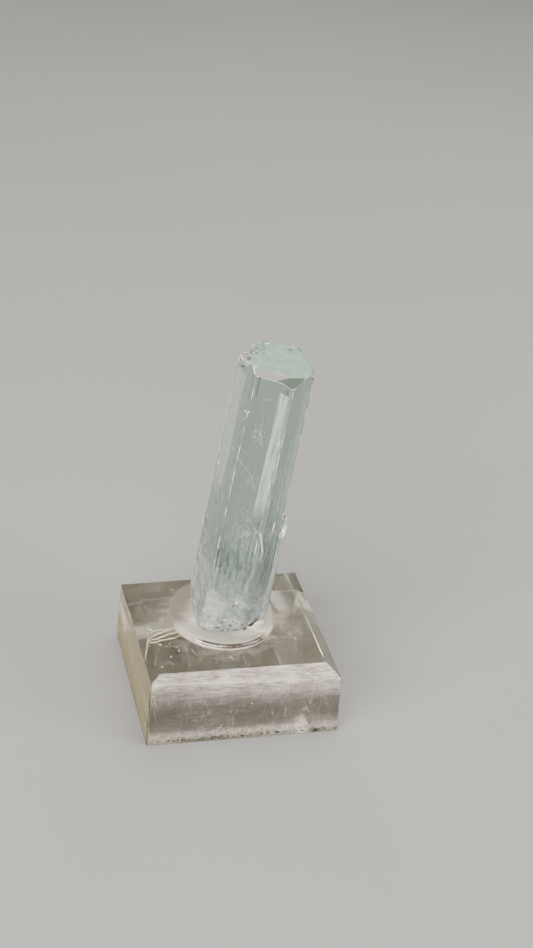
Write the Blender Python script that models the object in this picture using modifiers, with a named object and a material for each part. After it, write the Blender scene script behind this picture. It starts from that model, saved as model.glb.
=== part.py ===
"""A gem crystal display: a leaning hexagonal aquamarine prism, held by a collar of clear glue on a bevelled
acrylic block. Metres, +Z up. The origin is the middle of the block's underside and -Y faces the viewer."""

import math

import bmesh
import bpy
from mathutils import Matrix, Vector

# Acrylic block: a square of nominal half-inch sheet, with a bevel of uneven width round its top.
BLOCK_SIDE = 0.0320
BLOCK_HEIGHT = 0.0121
BLOCK_DRAFT = 0.0003  # each side leans in by this much at the top of the wall
BLOCK_EDGE_RADIUS = 0.0004
# Bevel at each top corner: its reach inwards along X and along Y, and its drop.
BEVEL_FRONT_LEFT = (0.0021, 0.0027, 0.0003)
BEVEL_FRONT_RIGHT = (0.0024, 0.0027, 0.0017)
BEVEL_BACK_RIGHT = (0.0025, 0.0025, 0.0013)
BEVEL_BACK_LEFT = (0.0028, 0.0030, 0.0018)

GAP = 0.0003  # air between neighbouring pieces

# Crystal: its own frame has z along the prism and zero at the middle of the foot.
CRYSTAL_LENGTH = 0.0487
FOOT_CENTRE = (-0.00083, 0.00027, 0.01383)
LEAN_ANGLE = 7.3  # degrees from upright
LEAN_HEADING = -48.4  # the way it leans, from +X towards +Y: to the front right
TWIST = -24.4  # turn of the prism about its own length
FACE_TAPER = 0.55  # degrees that each side leans in towards the top

# Sides of the prism: heading of the outward normal, and distance from the middle at the top.
PRISM_SIDES = {
    "front": (-90, 0.00529),
    "front_right": (-30, 0.00568),
    "back_right": (30, 0.00505),
    "back": (90, 0.00630),
    "back_left": (150, 0.00573),
    "front_left": (-150, 0.00474),
    "front_right_edge": (-60, 0.00621),
    "right_edge": (0, 0.00585),
}
# Bevel facets round the top: heading, distance from the middle where it meets the top, angle from the top.
TOP_FACETS = {
    "front": (-90, 0.00421, 30.0),
    "front_right_corner": (-60, 0.00492, 45.0),
    "right_corner": (0, 0.00540, 45.0),
    "back_right": (30, 0.00475, 30.0),
}
# Breaks that round the foot: heading, height where it meets the side, angle under level.
FOOT_BREAKS = (
    (-15, 0.0008, 50.0),
    (-60, 0.0006, 56.0),
    (-100, -0.0012, 48.0),
    (-150, -0.0003, 42.0),
    (180, -0.0005, 15.0),
    (-174, -0.0003, 46.0),
    (125, 0.0001, 50.0),
    (75, -0.0004, 55.0),
    (30, 0.0003, 50.0),
)
FOOT_REACH = 0.0058
FOOT_REST = 0.0003  # height of the foot's lowest flat over the block

# Side growth: a thin parallel crystal, grown on to the right side.
GROWTH_REACH = 0.00695
GROWTH_TOP = 0.0201
GROWTH_TOP_NORMAL = (0.04, -0.766, 0.642)

# Growth steps: strips that stand this far proud of the front-left and front sides.
STEP_RISE = 0.00012
LEFT_STEP_TOP = 0.0468
LEFT_STEP_BOTTOM = 0.0150
FRONT_STEP_TOP = 0.0472
FRONT_STEP_BOTTOM = 0.0235

# Glue collar: centre, and its reach every 30 degrees from +X round through +Y.
COLLAR_CENTRE = (-0.0008, 0.0010)
COLLAR_REACH = (
    0.0088, 0.0099, 0.0104, 0.0107, 0.0105, 0.0094,
    0.0091, 0.0089, 0.0091, 0.0093, 0.0092, 0.0089,
)
# Height of the glue where it meets the crystal, at the same headings.
COLLAR_CLIMB = (
    0.0028, 0.0029, 0.0029, 0.0028, 0.0028, 0.0027,
    0.0021, 0.0014, 0.0011, 0.0012, 0.0019, 0.0026,
)
COLLAR_WALL = 0.0010
COLLAR_SEGMENTS = 48


def rotated(x, y, angle):
    """The point (x, y) turned by angle radians about the origin."""
    return (x * math.cos(angle) - y * math.sin(angle), x * math.sin(angle) + y * math.cos(angle))


def heading_vector(degrees, tilt):
    """Unit vector with this heading, raised by tilt degrees above level."""
    flat = math.cos(math.radians(tilt))
    turn = math.radians(degrees)
    return Vector((flat * math.cos(turn), flat * math.sin(turn), math.sin(math.radians(tilt))))


def clear_scene():
    for obj in list(bpy.data.objects):
        bpy.data.objects.remove(obj, do_unlink=True)


def new_collection(name):
    collection = bpy.data.collections.new(name)
    bpy.context.scene.collection.children.link(collection)
    return collection


def new_object(name, bm, collection):
    """Turns a bmesh into an object with outward normals."""
    bmesh.ops.recalc_face_normals(bm, faces=bm.faces)
    mesh = bpy.data.meshes.new(name)
    bm.to_mesh(mesh)
    bm.free()
    obj = bpy.data.objects.new(name, mesh)
    collection.objects.link(obj)
    return obj


def new_cutter(name, bm):
    """A helper body that shapes another one: never rendered, drawn as wire."""
    obj = new_object(name, bm, CUTTERS)
    obj.hide_render = True
    obj.display_type = "WIRE"
    return obj


def boolean(obj, other, operation):
    modifier = obj.modifiers.new(operation.title() + "_" + other.name, "BOOLEAN")
    modifier.operation = operation
    modifier.solver = "EXACT"
    modifier.object = other


def principled(name, color, roughness, transmission, ior):
    material = bpy.data.materials.new(name)
    material.use_nodes = True
    shader = material.node_tree.nodes["Principled BSDF"]
    shader.inputs["Base Color"].default_value = (*color, 1.0)
    shader.inputs["Roughness"].default_value = roughness
    shader.inputs["Transmission Weight"].default_value = transmission
    shader.inputs["IOR"].default_value = ior
    return material


def slice_off(bm, point, normal):
    """Cuts away what lies on the normal's side of the plane, and closes the cut."""
    geometry = bm.verts[:] + bm.edges[:] + bm.faces[:]
    result = bmesh.ops.bisect_plane(
        bm, geom=geometry, dist=1e-7, plane_co=point, plane_no=normal, clear_outer=True
    )
    edges = [item for item in result["geom_cut"] if isinstance(item, bmesh.types.BMEdge)]
    if edges:
        bmesh.ops.edgeloop_fill(bm, edges=edges)


def body_inside(planes):
    """The convex body behind every plane, each given as a point and an outward normal."""
    bm = bmesh.new()
    bmesh.ops.create_cube(bm, size=0.16)
    for point, normal in planes:
        slice_off(bm, point, normal)
    return bm


def side_plane(heading, distance, height=CRYSTAL_LENGTH, taper=FACE_TAPER):
    """A tapering side of the prism, at this distance from its middle at this height."""
    flat = heading_vector(heading, 0.0)
    return (flat * distance + Vector((0.0, 0.0, height)), heading_vector(heading, taper))


def crystal_matrix():
    """Crystal frame to world: twist about the length, lean over, then move to the foot's place."""
    heading = math.radians(LEAN_HEADING)
    across = Vector((-math.sin(heading), math.cos(heading), 0.0))
    lean = Matrix.Rotation(math.radians(LEAN_ANGLE), 4, across)
    twist = Matrix.Rotation(math.radians(TWIST), 4, "Z")
    return Matrix.Translation(FOOT_CENTRE) @ lean @ twist


def crystal_body(grow):
    """The prism with its top facets and broken foot, every plane moved out by grow."""
    planes = [(Vector((0.0, 0.0, CRYSTAL_LENGTH + grow)), Vector((0.0, 0.0, 1.0)))]
    for heading, distance in PRISM_SIDES.values():
        planes.append(side_plane(heading, distance + grow))
    for heading, distance, angle in TOP_FACETS.values():
        normal = heading_vector(heading, 90.0 - angle)
        point = heading_vector(heading, 0.0) * distance + Vector((0.0, 0.0, CRYSTAL_LENGTH))
        planes.append((point + normal * grow, normal))
    for heading, height, angle in FOOT_BREAKS:
        normal = heading_vector(heading, -angle)
        point = heading_vector(heading, 0.0) * FOOT_REACH + Vector((0.0, 0.0, height))
        planes.append((point + normal * grow, normal))
    to_crystal = crystal_matrix().inverted()
    rest = Vector((FOOT_CENTRE[0], FOOT_CENTRE[1], BLOCK_HEIGHT + FOOT_REST - grow))
    planes.append((to_crystal @ rest, to_crystal.to_3x3() @ Vector((0.0, 0.0, -1.0))))
    return body_inside(planes)


def growth_body(grow):
    """The side growth: a parallel prism that shares the big crystal's headings."""
    top = Vector((GROWTH_REACH, 0.0, GROWTH_TOP))
    normal = Vector(GROWTH_TOP_NORMAL).normalized()
    return body_inside(
        (
            (top + normal * grow, normal),
            side_plane(0, GROWTH_REACH + grow, GROWTH_TOP, 0.1),
            side_plane(-60, 0.00430 + grow, GROWTH_TOP, 0.1),
            side_plane(30, 0.00612 + grow, GROWTH_TOP, 0.1),
            side_plane(90, 0.00100 + grow, GROWTH_TOP, 0.1),
            (Vector((0.0045, 0.0, 0.0)), Vector((-1.0, 0.0, 0.0))),
            (Vector((GROWTH_REACH, 0.0, 0.0026 - grow)), heading_vector(0, -38.0)),
        )
    )


def left_step_body():
    """A raised strip along the outer half of the front-left side."""
    heading, distance = PRISM_SIDES["front_left"]
    return body_inside(
        (
            side_plane(heading, distance + STEP_RISE),
            (Vector((-0.0041, -0.0025, 0.0)), heading_vector(-60, 0.0)),
            side_plane(150, PRISM_SIDES["back_left"][1] - 0.0002),
            (heading_vector(-150, 0.0) * distance + Vector((0.0, 0.0, LEFT_STEP_TOP)), heading_vector(-150, 62.0)),
            (Vector((-0.0041, -0.0025, LEFT_STEP_BOTTOM)), heading_vector(-150, -35.0)),
            side_plane(30, -0.0020, taper=0.0),
        )
    )


def front_step_body():
    """A raised strip on the front side, turned a little towards the right."""
    front = PRISM_SIDES["front"][1]
    return body_inside(
        (
            (Vector((0.00195, -front - STEP_RISE, CRYSTAL_LENGTH)), heading_vector(-84, FACE_TAPER)),
            (Vector((0.00193, -front, 0.040)), heading_vector(180, -0.3)),
            (Vector((0.00335, -front, 0.040)), heading_vector(0, 0.7)),
            (Vector((0.0025, -front, FRONT_STEP_TOP)), heading_vector(-90, 60.0)),
            (Vector((0.0025, -front, FRONT_STEP_BOTTOM)), heading_vector(-75, -30.0)),
            side_plane(90, -0.0040, taper=0.0),
        )
    )


def placed_box(name, size, place, turn=0.0, tip=(0.0, 0.0)):
    """A box cutter in the crystal's frame, tipped about X and Y and then turned about Z, in degrees."""
    bm = bmesh.new()
    bmesh.ops.create_cube(bm, size=1.0)
    bmesh.ops.scale(bm, vec=size, verts=bm.verts)
    spin = Matrix.Rotation(math.radians(turn), 3, "Z")
    spin = spin @ Matrix.Rotation(math.radians(tip[1]), 3, "Y") @ Matrix.Rotation(math.radians(tip[0]), 3, "X")
    bmesh.ops.rotate(bm, matrix=spin, verts=bm.verts)
    bmesh.ops.translate(bm, vec=place, verts=bm.verts)
    return new_cutter(name, bm)


def placed_shell(name, size, place, turn=0.0):
    """A flat-faceted round cutter, for the shell-shaped breaks of a gem."""
    bm = bmesh.new()
    bmesh.ops.create_icosphere(bm, subdivisions=2, radius=1.0)
    bmesh.ops.scale(bm, vec=size, verts=bm.verts)
    bmesh.ops.rotate(bm, matrix=Matrix.Rotation(math.radians(turn), 3, "Z"), verts=bm.verts)
    bmesh.ops.translate(bm, vec=place, verts=bm.verts)
    return new_cutter(name, bm)


def crystal_damage():
    """Chips, the pit and the etched grooves, as cutters in the crystal's frame."""
    top = CRYSTAL_LENGTH
    return [
        placed_box("shoulder_cutter", (0.0040, 0.0090, 0.0030), (-0.00647, 0.0006, top + 0.00040), 6, (-2, 5)),
        placed_box("back_left_step_cutter", (0.0034, 0.0052, 0.0015), (-0.00464, 0.00334, top + 0.00042), -15, (2, 3)),
        placed_shell("back_left_chip_cutter", (0.0008, 0.0011, 0.0006), (-0.0034, 0.0026, top - 0.0001), -15),
        placed_box("back_bevel_cutter", (0.0052, 0.0030, 0.0012), (-0.0017, 0.0066, top), 4, (-30, 0)),
        placed_shell("pit_cutter", (0.00032, 0.00055, 0.00060), (0.00105, 0.0047, top), -15),
        placed_shell("back_right_chip_cutter", (0.0008, 0.0010, 0.0004), (0.0024, 0.0057, top + 0.00018), 24),
        placed_box("front_chip_cutter", (0.0011, 0.0005, 0.0004), (-0.0027, -0.0037, top), 10, (24, 0)),
        placed_box("left_groove_cutter", (0.0009, 0.0006, 0.0066), (-0.00249, -0.00540, top - 0.0037), -30),
        placed_box("left_groove_chip_cutter", (0.0006, 0.0006, 0.0007), (-0.0026, -0.00535, top - 0.0072), -30, (35, 0)),
        placed_box("front_groove_cutter", (0.00034, 0.00034, 0.0036), (-0.00150, -0.00534, top - 0.0024), 45),
        placed_shell("front_flaw_cutter", (0.0003, 0.0002, 0.0006), (0.00235, -0.00558, 0.0430), 0),
        placed_shell("edge_flaw_cutter", (0.0002, 0.0003, 0.0005), (-0.00565, -0.00005, 0.0283), 31),
    ]


def make_crystal():
    crystal = new_object("aquamarine_crystal", crystal_body(0.0), MODEL)
    growth = new_cutter("growth_body", growth_body(0.0))
    steps = [new_cutter("left_step_body", left_step_body()), new_cutter("front_step_body", front_step_body())]
    damage = crystal_damage()
    place = crystal_matrix()
    for obj in [crystal, growth, *steps, *damage]:
        obj.data.transform(place)
    for added in [growth, *steps]:
        boolean(crystal, added, "UNION")
    for cutter in damage:
        boolean(crystal, cutter, "DIFFERENCE")
    crystal.data.materials.append(
        principled("aquamarine", (0.62, 0.80, 0.76), 0.06, 1.0, 1.575)
    )
    return crystal


def smooth_round(values, heading):
    """A closed smooth curve through values given at even headings, read at this heading in degrees."""
    step = 360.0 / len(values)
    place = (heading % 360.0) / step
    left = int(place)
    part = place - left
    before, start, end, after = (values[(left + shift) % len(values)] for shift in (-1, 0, 1, 2))
    bend = (2 * before - 5 * start + 4 * end - after) * part + (3 * start - before - 3 * end + after) * part**2
    return start + 0.5 * part * (end - before + bend)


def collar_rings():
    """The collar's cross-section as rings: how far out towards the rim, and how high, at each heading."""
    floor = BLOCK_HEIGHT + GAP
    rings = []
    for share, lift in ((0.985, 0.0), (1.0, 0.25), (0.99, 0.75), (0.96, 0.97)):
        rings.append([(share, floor + lift * (COLLAR_WALL - GAP), 0.0)] * COLLAR_SEGMENTS)
    for share, climb in ((0.90, 0.04), (0.80, 0.20), (0.70, 0.50), (0.62, 0.88), (0.50, 1.10)):
        rings.append([(share, floor + COLLAR_WALL - GAP, climb)] * COLLAR_SEGMENTS)
    return rings


def collar_body():
    """A low dome of glue: rings of points joined by quads, closed by one face under it and one over it."""
    bm = bmesh.new()
    rows = []
    for ring in collar_rings():
        row = []
        for index, (share, height, climb) in enumerate(ring):
            heading = 360.0 * index / COLLAR_SEGMENTS
            reach = smooth_round(COLLAR_REACH, heading) * share
            top = smooth_round(COLLAR_CLIMB, heading) - COLLAR_WALL
            x, y = rotated(reach, 0.0, math.radians(heading))
            z = height + climb * top
            row.append(bm.verts.new((COLLAR_CENTRE[0] + x, COLLAR_CENTRE[1] + y, z)))
        rows.append(row)
    for lower, upper in zip(rows, rows[1:]):
        for index in range(COLLAR_SEGMENTS):
            after = (index + 1) % COLLAR_SEGMENTS
            bm.faces.new((lower[index], lower[after], upper[after], upper[index]))
    bm.faces.new(list(reversed(rows[0])))
    peak = bm.verts.new((COLLAR_CENTRE[0], COLLAR_CENTRE[1], BLOCK_HEIGHT + 0.0026))
    for index in range(COLLAR_SEGMENTS):
        bm.faces.new((rows[-1][index], rows[-1][(index + 1) % COLLAR_SEGMENTS], peak))
    return bm


def make_collar():
    """The glue, with a pocket that clears the crystal's foot by the gap and goes right through."""
    collar = new_object("glue_collar", collar_body(), MODEL)
    pocket_bm = crystal_body(GAP)
    slice_off(pocket_bm, Vector((0.0, 0.0, 0.012)), Vector((0.0, 0.0, 1.0)))
    pocket = new_cutter("pocket_cutter", pocket_bm)
    growth_pocket = new_cutter("growth_pocket_cutter", growth_body(GAP))
    voids = [
        placed_shell("large_void_cutter", (0.0011, 0.0004, 0.0005), (0.0061, -0.0031, 0.0011), 55),
        placed_shell("small_void_cutter", (0.0006, 0.0003, 0.0004), (0.0043, -0.0056, 0.0011), 40),
    ]
    place = crystal_matrix()
    for cutter in [pocket, growth_pocket, *voids]:
        cutter.data.transform(place)
        boolean(collar, cutter, "DIFFERENCE")
    collar.data.shade_smooth()
    collar.data.set_sharp_from_angle(angle=math.radians(40))
    collar.data.materials.append(
        principled("clear_glue", (0.86, 0.83, 0.74), 0.18, 0.8, 1.47)
    )
    return collar


def corner_points(x_side, y_side, bevel):
    """The four heights of one corner of the block: bottom, top of the wall, and rim of the flat top."""
    half = BLOCK_SIDE / 2
    reach_x, reach_y, drop = bevel
    bottom = Vector((x_side * half, y_side * half, 0.0))
    wall = Vector((x_side * (half - BLOCK_DRAFT), y_side * (half - BLOCK_DRAFT), BLOCK_HEIGHT - drop))
    rim = Vector((x_side * (half - reach_x), y_side * (half - reach_y), BLOCK_HEIGHT))
    return bottom, wall, rim


def make_block():
    """A cube moved to the wall's corners, then its top pulled up and in to make the uneven bevel."""
    corners = {
        (-1, -1): corner_points(-1, -1, BEVEL_FRONT_LEFT),
        (1, -1): corner_points(1, -1, BEVEL_FRONT_RIGHT),
        (1, 1): corner_points(1, 1, BEVEL_BACK_RIGHT),
        (-1, 1): corner_points(-1, 1, BEVEL_BACK_LEFT),
    }
    bm = bmesh.new()
    bmesh.ops.create_cube(bm, size=2.0)
    bm.normal_update()
    top = next(face for face in bm.faces if face.normal.z > 0.5)
    for vert in bm.verts:
        bottom, wall, rim = corners[(round(vert.co.x), round(vert.co.y))]
        vert.co = wall if vert in top.verts else bottom
    raised = bmesh.ops.extrude_face_region(bm, geom=[top])
    bmesh.ops.delete(bm, geom=[top], context="FACES_ONLY")
    for vert in (item for item in raised["geom"] if isinstance(item, bmesh.types.BMVert)):
        key = (1 if vert.co.x > 0 else -1, 1 if vert.co.y > 0 else -1)
        vert.co = corners[key][2]
    weights = bm.edges.layers.float.new("bevel_weight_edge")
    for edge in bm.edges:
        heights = sorted(vert.co.z for vert in edge.verts)
        upright = heights[1] - heights[0] > 0.008
        edge[weights] = 1.0 if upright else 0.0
    block = new_object("acrylic_block", bm, MODEL)
    rounding = block.modifiers.new("RoundedUprights", "BEVEL")
    rounding.limit_method = "WEIGHT"
    rounding.width = BLOCK_EDGE_RADIUS
    rounding.segments = 3
    block.data.materials.append(
        principled("clear_acrylic", (0.93, 0.91, 0.82), 0.05, 1.0, 1.49)
    )
    return block


clear_scene()
MODEL = new_collection("aquamarine_crystal_display")
CUTTERS = new_collection("cutters")
CUTTERS.hide_render = True
make_block()
make_collar()
make_crystal()
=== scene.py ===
# %% [markdown]
# # A leaning aquamarine on an acrylic block
#
# The object is a natural gem crystal, a six-sided prism of pale blue-green beryl, standing in a puddle of clear
# glue on a small bevelled block of clear acrylic. Its solids already exist, at their real size. This lesson gives
# them their looks: finer surfaces, the flaws inside the stone, and the materials.
#
# All shapes below are worked out in millimetres as whole numpy arrays. Only the last step, which fills a mesh,
# turns them into metres.

# %% Load the frame
import math

import bpy
import numpy as np
from mathutils import Matrix, Vector


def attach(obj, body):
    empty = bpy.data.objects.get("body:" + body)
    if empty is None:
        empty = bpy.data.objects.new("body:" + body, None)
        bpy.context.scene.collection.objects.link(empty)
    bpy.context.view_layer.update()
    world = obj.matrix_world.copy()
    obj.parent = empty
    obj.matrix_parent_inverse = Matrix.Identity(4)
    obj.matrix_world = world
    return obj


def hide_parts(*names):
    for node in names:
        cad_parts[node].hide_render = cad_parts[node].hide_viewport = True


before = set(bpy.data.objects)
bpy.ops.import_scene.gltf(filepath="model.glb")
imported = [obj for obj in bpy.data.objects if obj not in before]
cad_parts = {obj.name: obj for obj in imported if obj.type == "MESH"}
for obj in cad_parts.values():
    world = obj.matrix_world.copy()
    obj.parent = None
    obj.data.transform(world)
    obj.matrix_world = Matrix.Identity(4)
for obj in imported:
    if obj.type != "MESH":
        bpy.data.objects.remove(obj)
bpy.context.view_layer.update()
print("solids:", ", ".join(sorted(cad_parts)))

# %% [markdown]
# ## From arrays to a mesh
#
# Every piece here is a closed skin: a stack of rings that all have the same number of points, joined by quads and
# closed at each end by a fan round one point in the middle. One helper works out the faces for any such stack, so
# that each shape only has to say where its rings lie. The rings run anticlockwise as seen from the last one, which
# makes the faces point outwards.

# %% Closed skins
MM = 0.001


def skin_faces(rings, columns):
    """Quads between neighbouring rings, and a fan of triangles round a pole at either end.
    Point r * columns + c is column c of ring r, and the two poles come last."""
    ring = np.arange(rings - 1)[:, None] * columns
    here = np.arange(columns)[None, :]
    after = (here + 1) % columns
    quads = np.stack([ring + here, ring + after, ring + columns + after, ring + columns + here], axis=-1)
    first = np.full(columns, rings * columns)
    last_ring = (rings - 1) * columns
    bottom = np.stack([after[0], here[0], first], axis=-1)
    top = np.stack([last_ring + here[0], last_ring + after[0], first + 1], axis=-1)
    return quads.reshape(-1, 4), np.concatenate([bottom, top])


def skin_points(rings):
    """The points of a stack of rings, with the middle of the first and of the last ring added as poles."""
    poles = np.stack([rings[0].mean(axis=0), rings[-1].mean(axis=0)])
    return np.concatenate([rings.reshape(-1, 3), poles])


def joined(shapes):
    """Several shapes as one: points in a row, and each shape's faces counted from its own first point."""
    start = np.cumsum([0] + [len(points) for points, _, _ in shapes])
    points = np.concatenate([shape[0] for shape in shapes])
    quads = np.concatenate([shape[1] + first for shape, first in zip(shapes, start)])
    triangles = np.concatenate([shape[2] + first for shape, first in zip(shapes, start)])
    return points, quads, triangles


def new_piece(name, points, quads, triangles, material):
    """Fills a mesh with points in millimetres and faces of four and three corners."""
    mesh = bpy.data.meshes.new(name)
    corners = np.concatenate([quads.reshape(-1), triangles.reshape(-1)]).astype(np.int32)
    sizes = np.concatenate([np.full(len(quads), 4), np.full(len(triangles), 3)])
    mesh.vertices.add(len(points))
    mesh.vertices.foreach_set("co", (np.asarray(points) * MM).astype(np.float32).reshape(-1))
    mesh.loops.add(len(corners))
    mesh.loops.foreach_set("vertex_index", corners)
    mesh.polygons.add(len(sizes))
    mesh.polygons.foreach_set("loop_start", (np.cumsum(sizes) - sizes).astype(np.int32))
    mesh.update(calc_edges=True)
    mesh.validate()
    mesh.shade_smooth()
    mesh.materials.append(material)
    piece = bpy.data.objects.new(name, mesh)
    bpy.context.scene.collection.objects.link(piece)
    print(f"{name}: {len(points)} points, {2 * len(quads) + len(triangles)} triangles")
    return piece


def new_skin(name, rings, material):
    return new_piece(name, skin_points(rings), *skin_faces(*rings.shape[:2]), material)


def store(piece, name, values):
    """Keeps one number per point on the mesh, for a material to read."""
    attribute = piece.data.attributes.new(name, "FLOAT", "POINT")
    attribute.data.foreach_set("value", np.asarray(values, np.float32).reshape(-1))


# %% [markdown]
# ## Soft steps and waves
#
# Two more helpers are used all over. A smooth step turns a distance into a mask with a soft border. A wave field
# is a sum of sines that run in random directions: it is a cheap noise that works on whole arrays, and it gives the
# same result every time, because the directions come from a seed.

# %% Masks and noise


def smooth_step(low, high, value):
    """0 below low, 1 above high, and the curve 3t^2 - 2t^3 between them."""
    part = np.clip((value - low) / (high - low), 0.0, 1.0)
    return part * part * (3.0 - 2.0 * part)


def unit(vectors):
    return vectors / np.linalg.norm(vectors, axis=-1, keepdims=True)


def waves(points, spacing, seed, count=24):
    """Sum of sines of about this spacing, in random directions, scaled to about -1 to 1."""
    rng = np.random.default_rng(seed)
    direction = rng.normal(size=(count, points.shape[-1]))
    direction /= np.linalg.norm(direction, axis=1, keepdims=True)
    rate = 2 * np.pi / (spacing * rng.uniform(0.7, 1.6, count))
    phase = rng.uniform(0, 2 * np.pi, count)
    return np.sin(points @ (direction * rate[:, None]).T + phase).sum(axis=-1) / math.sqrt(count)


# %% [markdown]
# ## Where the crystal stands
#
# The crystal has a frame of its own: z runs along the prism from the middle of its foot. The prism leans over to
# the front right and is turned about its own length, so a point of that frame is turned twice and then moved.

# %% The crystal's own frame
LENGTH = 48.7
FOOT_CENTRE = np.array([-0.83, 0.27, 13.83])
LEAN_ANGLE = 7.3
LEAN_HEADING = -48.4
TWIST = -24.4

lean_axis = Vector((-math.sin(math.radians(LEAN_HEADING)), math.cos(math.radians(LEAN_HEADING)), 0.0))
CRYSTAL_TURN = Matrix.Rotation(math.radians(LEAN_ANGLE), 3, lean_axis) @ Matrix.Rotation(
    math.radians(TWIST), 3, "Z"
)
TURN = np.array(CRYSTAL_TURN)


def to_world(points):
    return points @ TURN.T + FOOT_CENTRE


def to_crystal(points):
    return (points - FOOT_CENTRE) @ TURN


print("the prism points along", np.round(TURN[:, 2], 3))

# %% [markdown]
# ## The prism's planes
#
# Beryl grows as a hexagonal prism with a flat end, and here two of the prism's edges and part of the rim are cut by
# small extra faces. Each face is a plane, given by the heading of its outward normal and its distance from the
# middle. The sides lean in a little towards the top.

# %% Planes of the crystal
TAPER = math.tan(math.radians(0.55))
# Heading in degrees, and distance from the middle at the top.
SIDES = np.array([(-150, 4.74), (-90, 5.29), (-60, 6.21), (-30, 5.68), (0, 5.85), (30, 5.05), (90, 6.30), (150, 5.73)])
# Heading, distance from the middle where the facet meets the flat top, and slope in degrees.
TOP_FACETS = np.array([(-90, 4.21, 30), (-60, 4.92, 45), (0, 5.40, 45), (30, 4.75, 30)])
# Heading, height where the break meets the side, and angle under level.
FOOT_BREAKS = np.array(
    [(-15, 0.8, 50), (-60, 0.6, 56), (-100, -1.2, 48), (-150, -0.3, 42), (180, -0.5, 15),
     (-174, -0.3, 46), (125, 0.1, 50), (75, -0.4, 55), (30, 0.3, 50)]
)
FOOT_REACH = 5.8
BLOCK_TOP = 12.1
FOOT_LEVEL = BLOCK_TOP + 0.3


def flat(degrees):
    """Unit vectors on the level, with these headings."""
    turn = np.radians(degrees)
    return np.stack([np.cos(turn), np.sin(turn)], axis=-1)


def side_corner(side, height):
    """The edge between a side and the one before it: where the lines e1.p = r1 and e2.p = r2 cross."""
    before = (side - 1) % len(SIDES)
    turn, turn_before = np.radians(SIDES[side, 0]), np.radians(SIDES[before, 0])
    drop = (LENGTH - height) * TAPER
    reach, reach_before = SIDES[side, 1] + drop, SIDES[before, 1] + drop
    cross = np.sin(turn - turn_before)
    x = (reach_before * np.sin(turn) - reach * np.sin(turn_before)) / cross
    y = (reach * np.cos(turn_before) - reach_before * np.cos(turn)) / cross
    return np.stack([x, y], axis=-1)


def side_point(side, share, height):
    """A point on a side at this share of the way along it, at this height."""
    start, end = side_corner(side, height), side_corner((side + 1) % len(SIDES), height)
    return start + (end - start) * share[..., None]


def convex_planes():
    """Every plane of the unbroken crystal as unit normals and distances, so that n.p = d on the plane."""
    tilt = math.atan(TAPER)
    normals = [np.append(flat(heading) * math.cos(tilt), math.sin(tilt)) for heading, _ in SIDES]
    points = [np.append(flat(heading) * reach, LENGTH) for heading, reach in SIDES]
    for heading, reach, slope in TOP_FACETS:
        slant = math.radians(slope)
        normals.append(np.append(flat(heading) * math.sin(slant), math.cos(slant)))
        points.append(np.append(flat(heading) * reach, LENGTH))
    normals.append(np.array([0.0, 0.0, 1.0]))
    points.append(np.array([0.0, 0.0, LENGTH]))
    for heading, height, angle in FOOT_BREAKS:
        under = math.radians(angle)
        normals.append(np.append(flat(heading) * math.cos(under), -math.sin(under)))
        points.append(np.append(flat(heading) * FOOT_REACH, height))
    normals.append(-TURN[2])
    points.append(to_crystal(np.array([FOOT_CENTRE[0], FOOT_CENTRE[1], FOOT_LEVEL])))
    normals = np.array(normals)
    return normals, (normals * np.array(points)).sum(axis=1)


PLANES, PLANE_REACH = convex_planes()
print(len(PLANES), "planes bound the unbroken crystal")

# %% [markdown]
# ## The end of the prism
#
# The end is a height field over the prism's outline: the lowest of the flat top, the small facets round it, and
# what is broken away. A shoulder on the left is split off along a steep wall, a thinner flake is gone behind it,
# the back rim is bevelled, and there are a pit and a few shell-shaped chips. Each break is one more height, and
# the lowest always wins.

# %% Height of the top
SHOULDER_WALL = (6, (-4.48, 0.81))  # heading of the wall's normal, and a point on it
FLAKE_CENTRE, FLAKE_TURN = np.array([-4.64, 3.34]), -15
BACK_BEVEL = (94, 5.42, 30)
# Centre, half sizes and turn of each dent in the top.
TOP_DENTS = (
    ((-3.40, 2.60, LENGTH - 0.10), (0.80, 1.10, 0.60), -15),
    ((1.05, 4.70, LENGTH + 0.00), (0.32, 0.55, 0.60), -15),
    ((2.40, 5.70, LENGTH + 0.18), (0.80, 1.00, 0.40), 24),
    ((-2.70, -3.75, LENGTH + 0.05), (0.62, 0.30, 0.22), 12),
    ((-2.62, 1.15, LENGTH + 0.10), (0.42, 0.55, 0.25), 30),
    ((-3.60, 0.55, LENGTH + 0.08), (0.50, 0.35, 0.24), -20),
    ((5.15, 0.60, LENGTH + 0.06), (0.30, 0.45, 0.16), 0),
    ((4.10, -2.20, LENGTH + 0.07), (0.26, 0.36, 0.15), 30),
)


def turned(spot, centre, degrees):
    """Spots as seen from a centre whose first axis has this heading."""
    across, along = flat(degrees), flat(degrees + 90)
    offset = spot - np.asarray(centre)[:2]
    return offset @ across, offset @ along


def dented(height, spot, centre, size, turn):
    """A height field lowered to the underside of an ellipsoid wherever the ellipsoid reaches into it."""
    across, along = turned(spot, centre, turn)
    room = 1.0 - (across / size[0]) ** 2 - (along / size[1]) ** 2
    bottom = centre[2] - size[2] * np.sqrt(np.clip(room, 0.0, None))
    return np.where(room > 0, np.minimum(height, bottom), height)


def whole_top(spot):
    """Height of the unbroken end: the lowest of the flat top and the facets' planes."""
    height = np.full(spot.shape[:-1], LENGTH)
    for heading, reach, slope in TOP_FACETS:
        beyond = spot @ flat(heading) - reach
        height = np.minimum(height, LENGTH - beyond * math.tan(math.radians(slope)))
    return height


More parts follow.
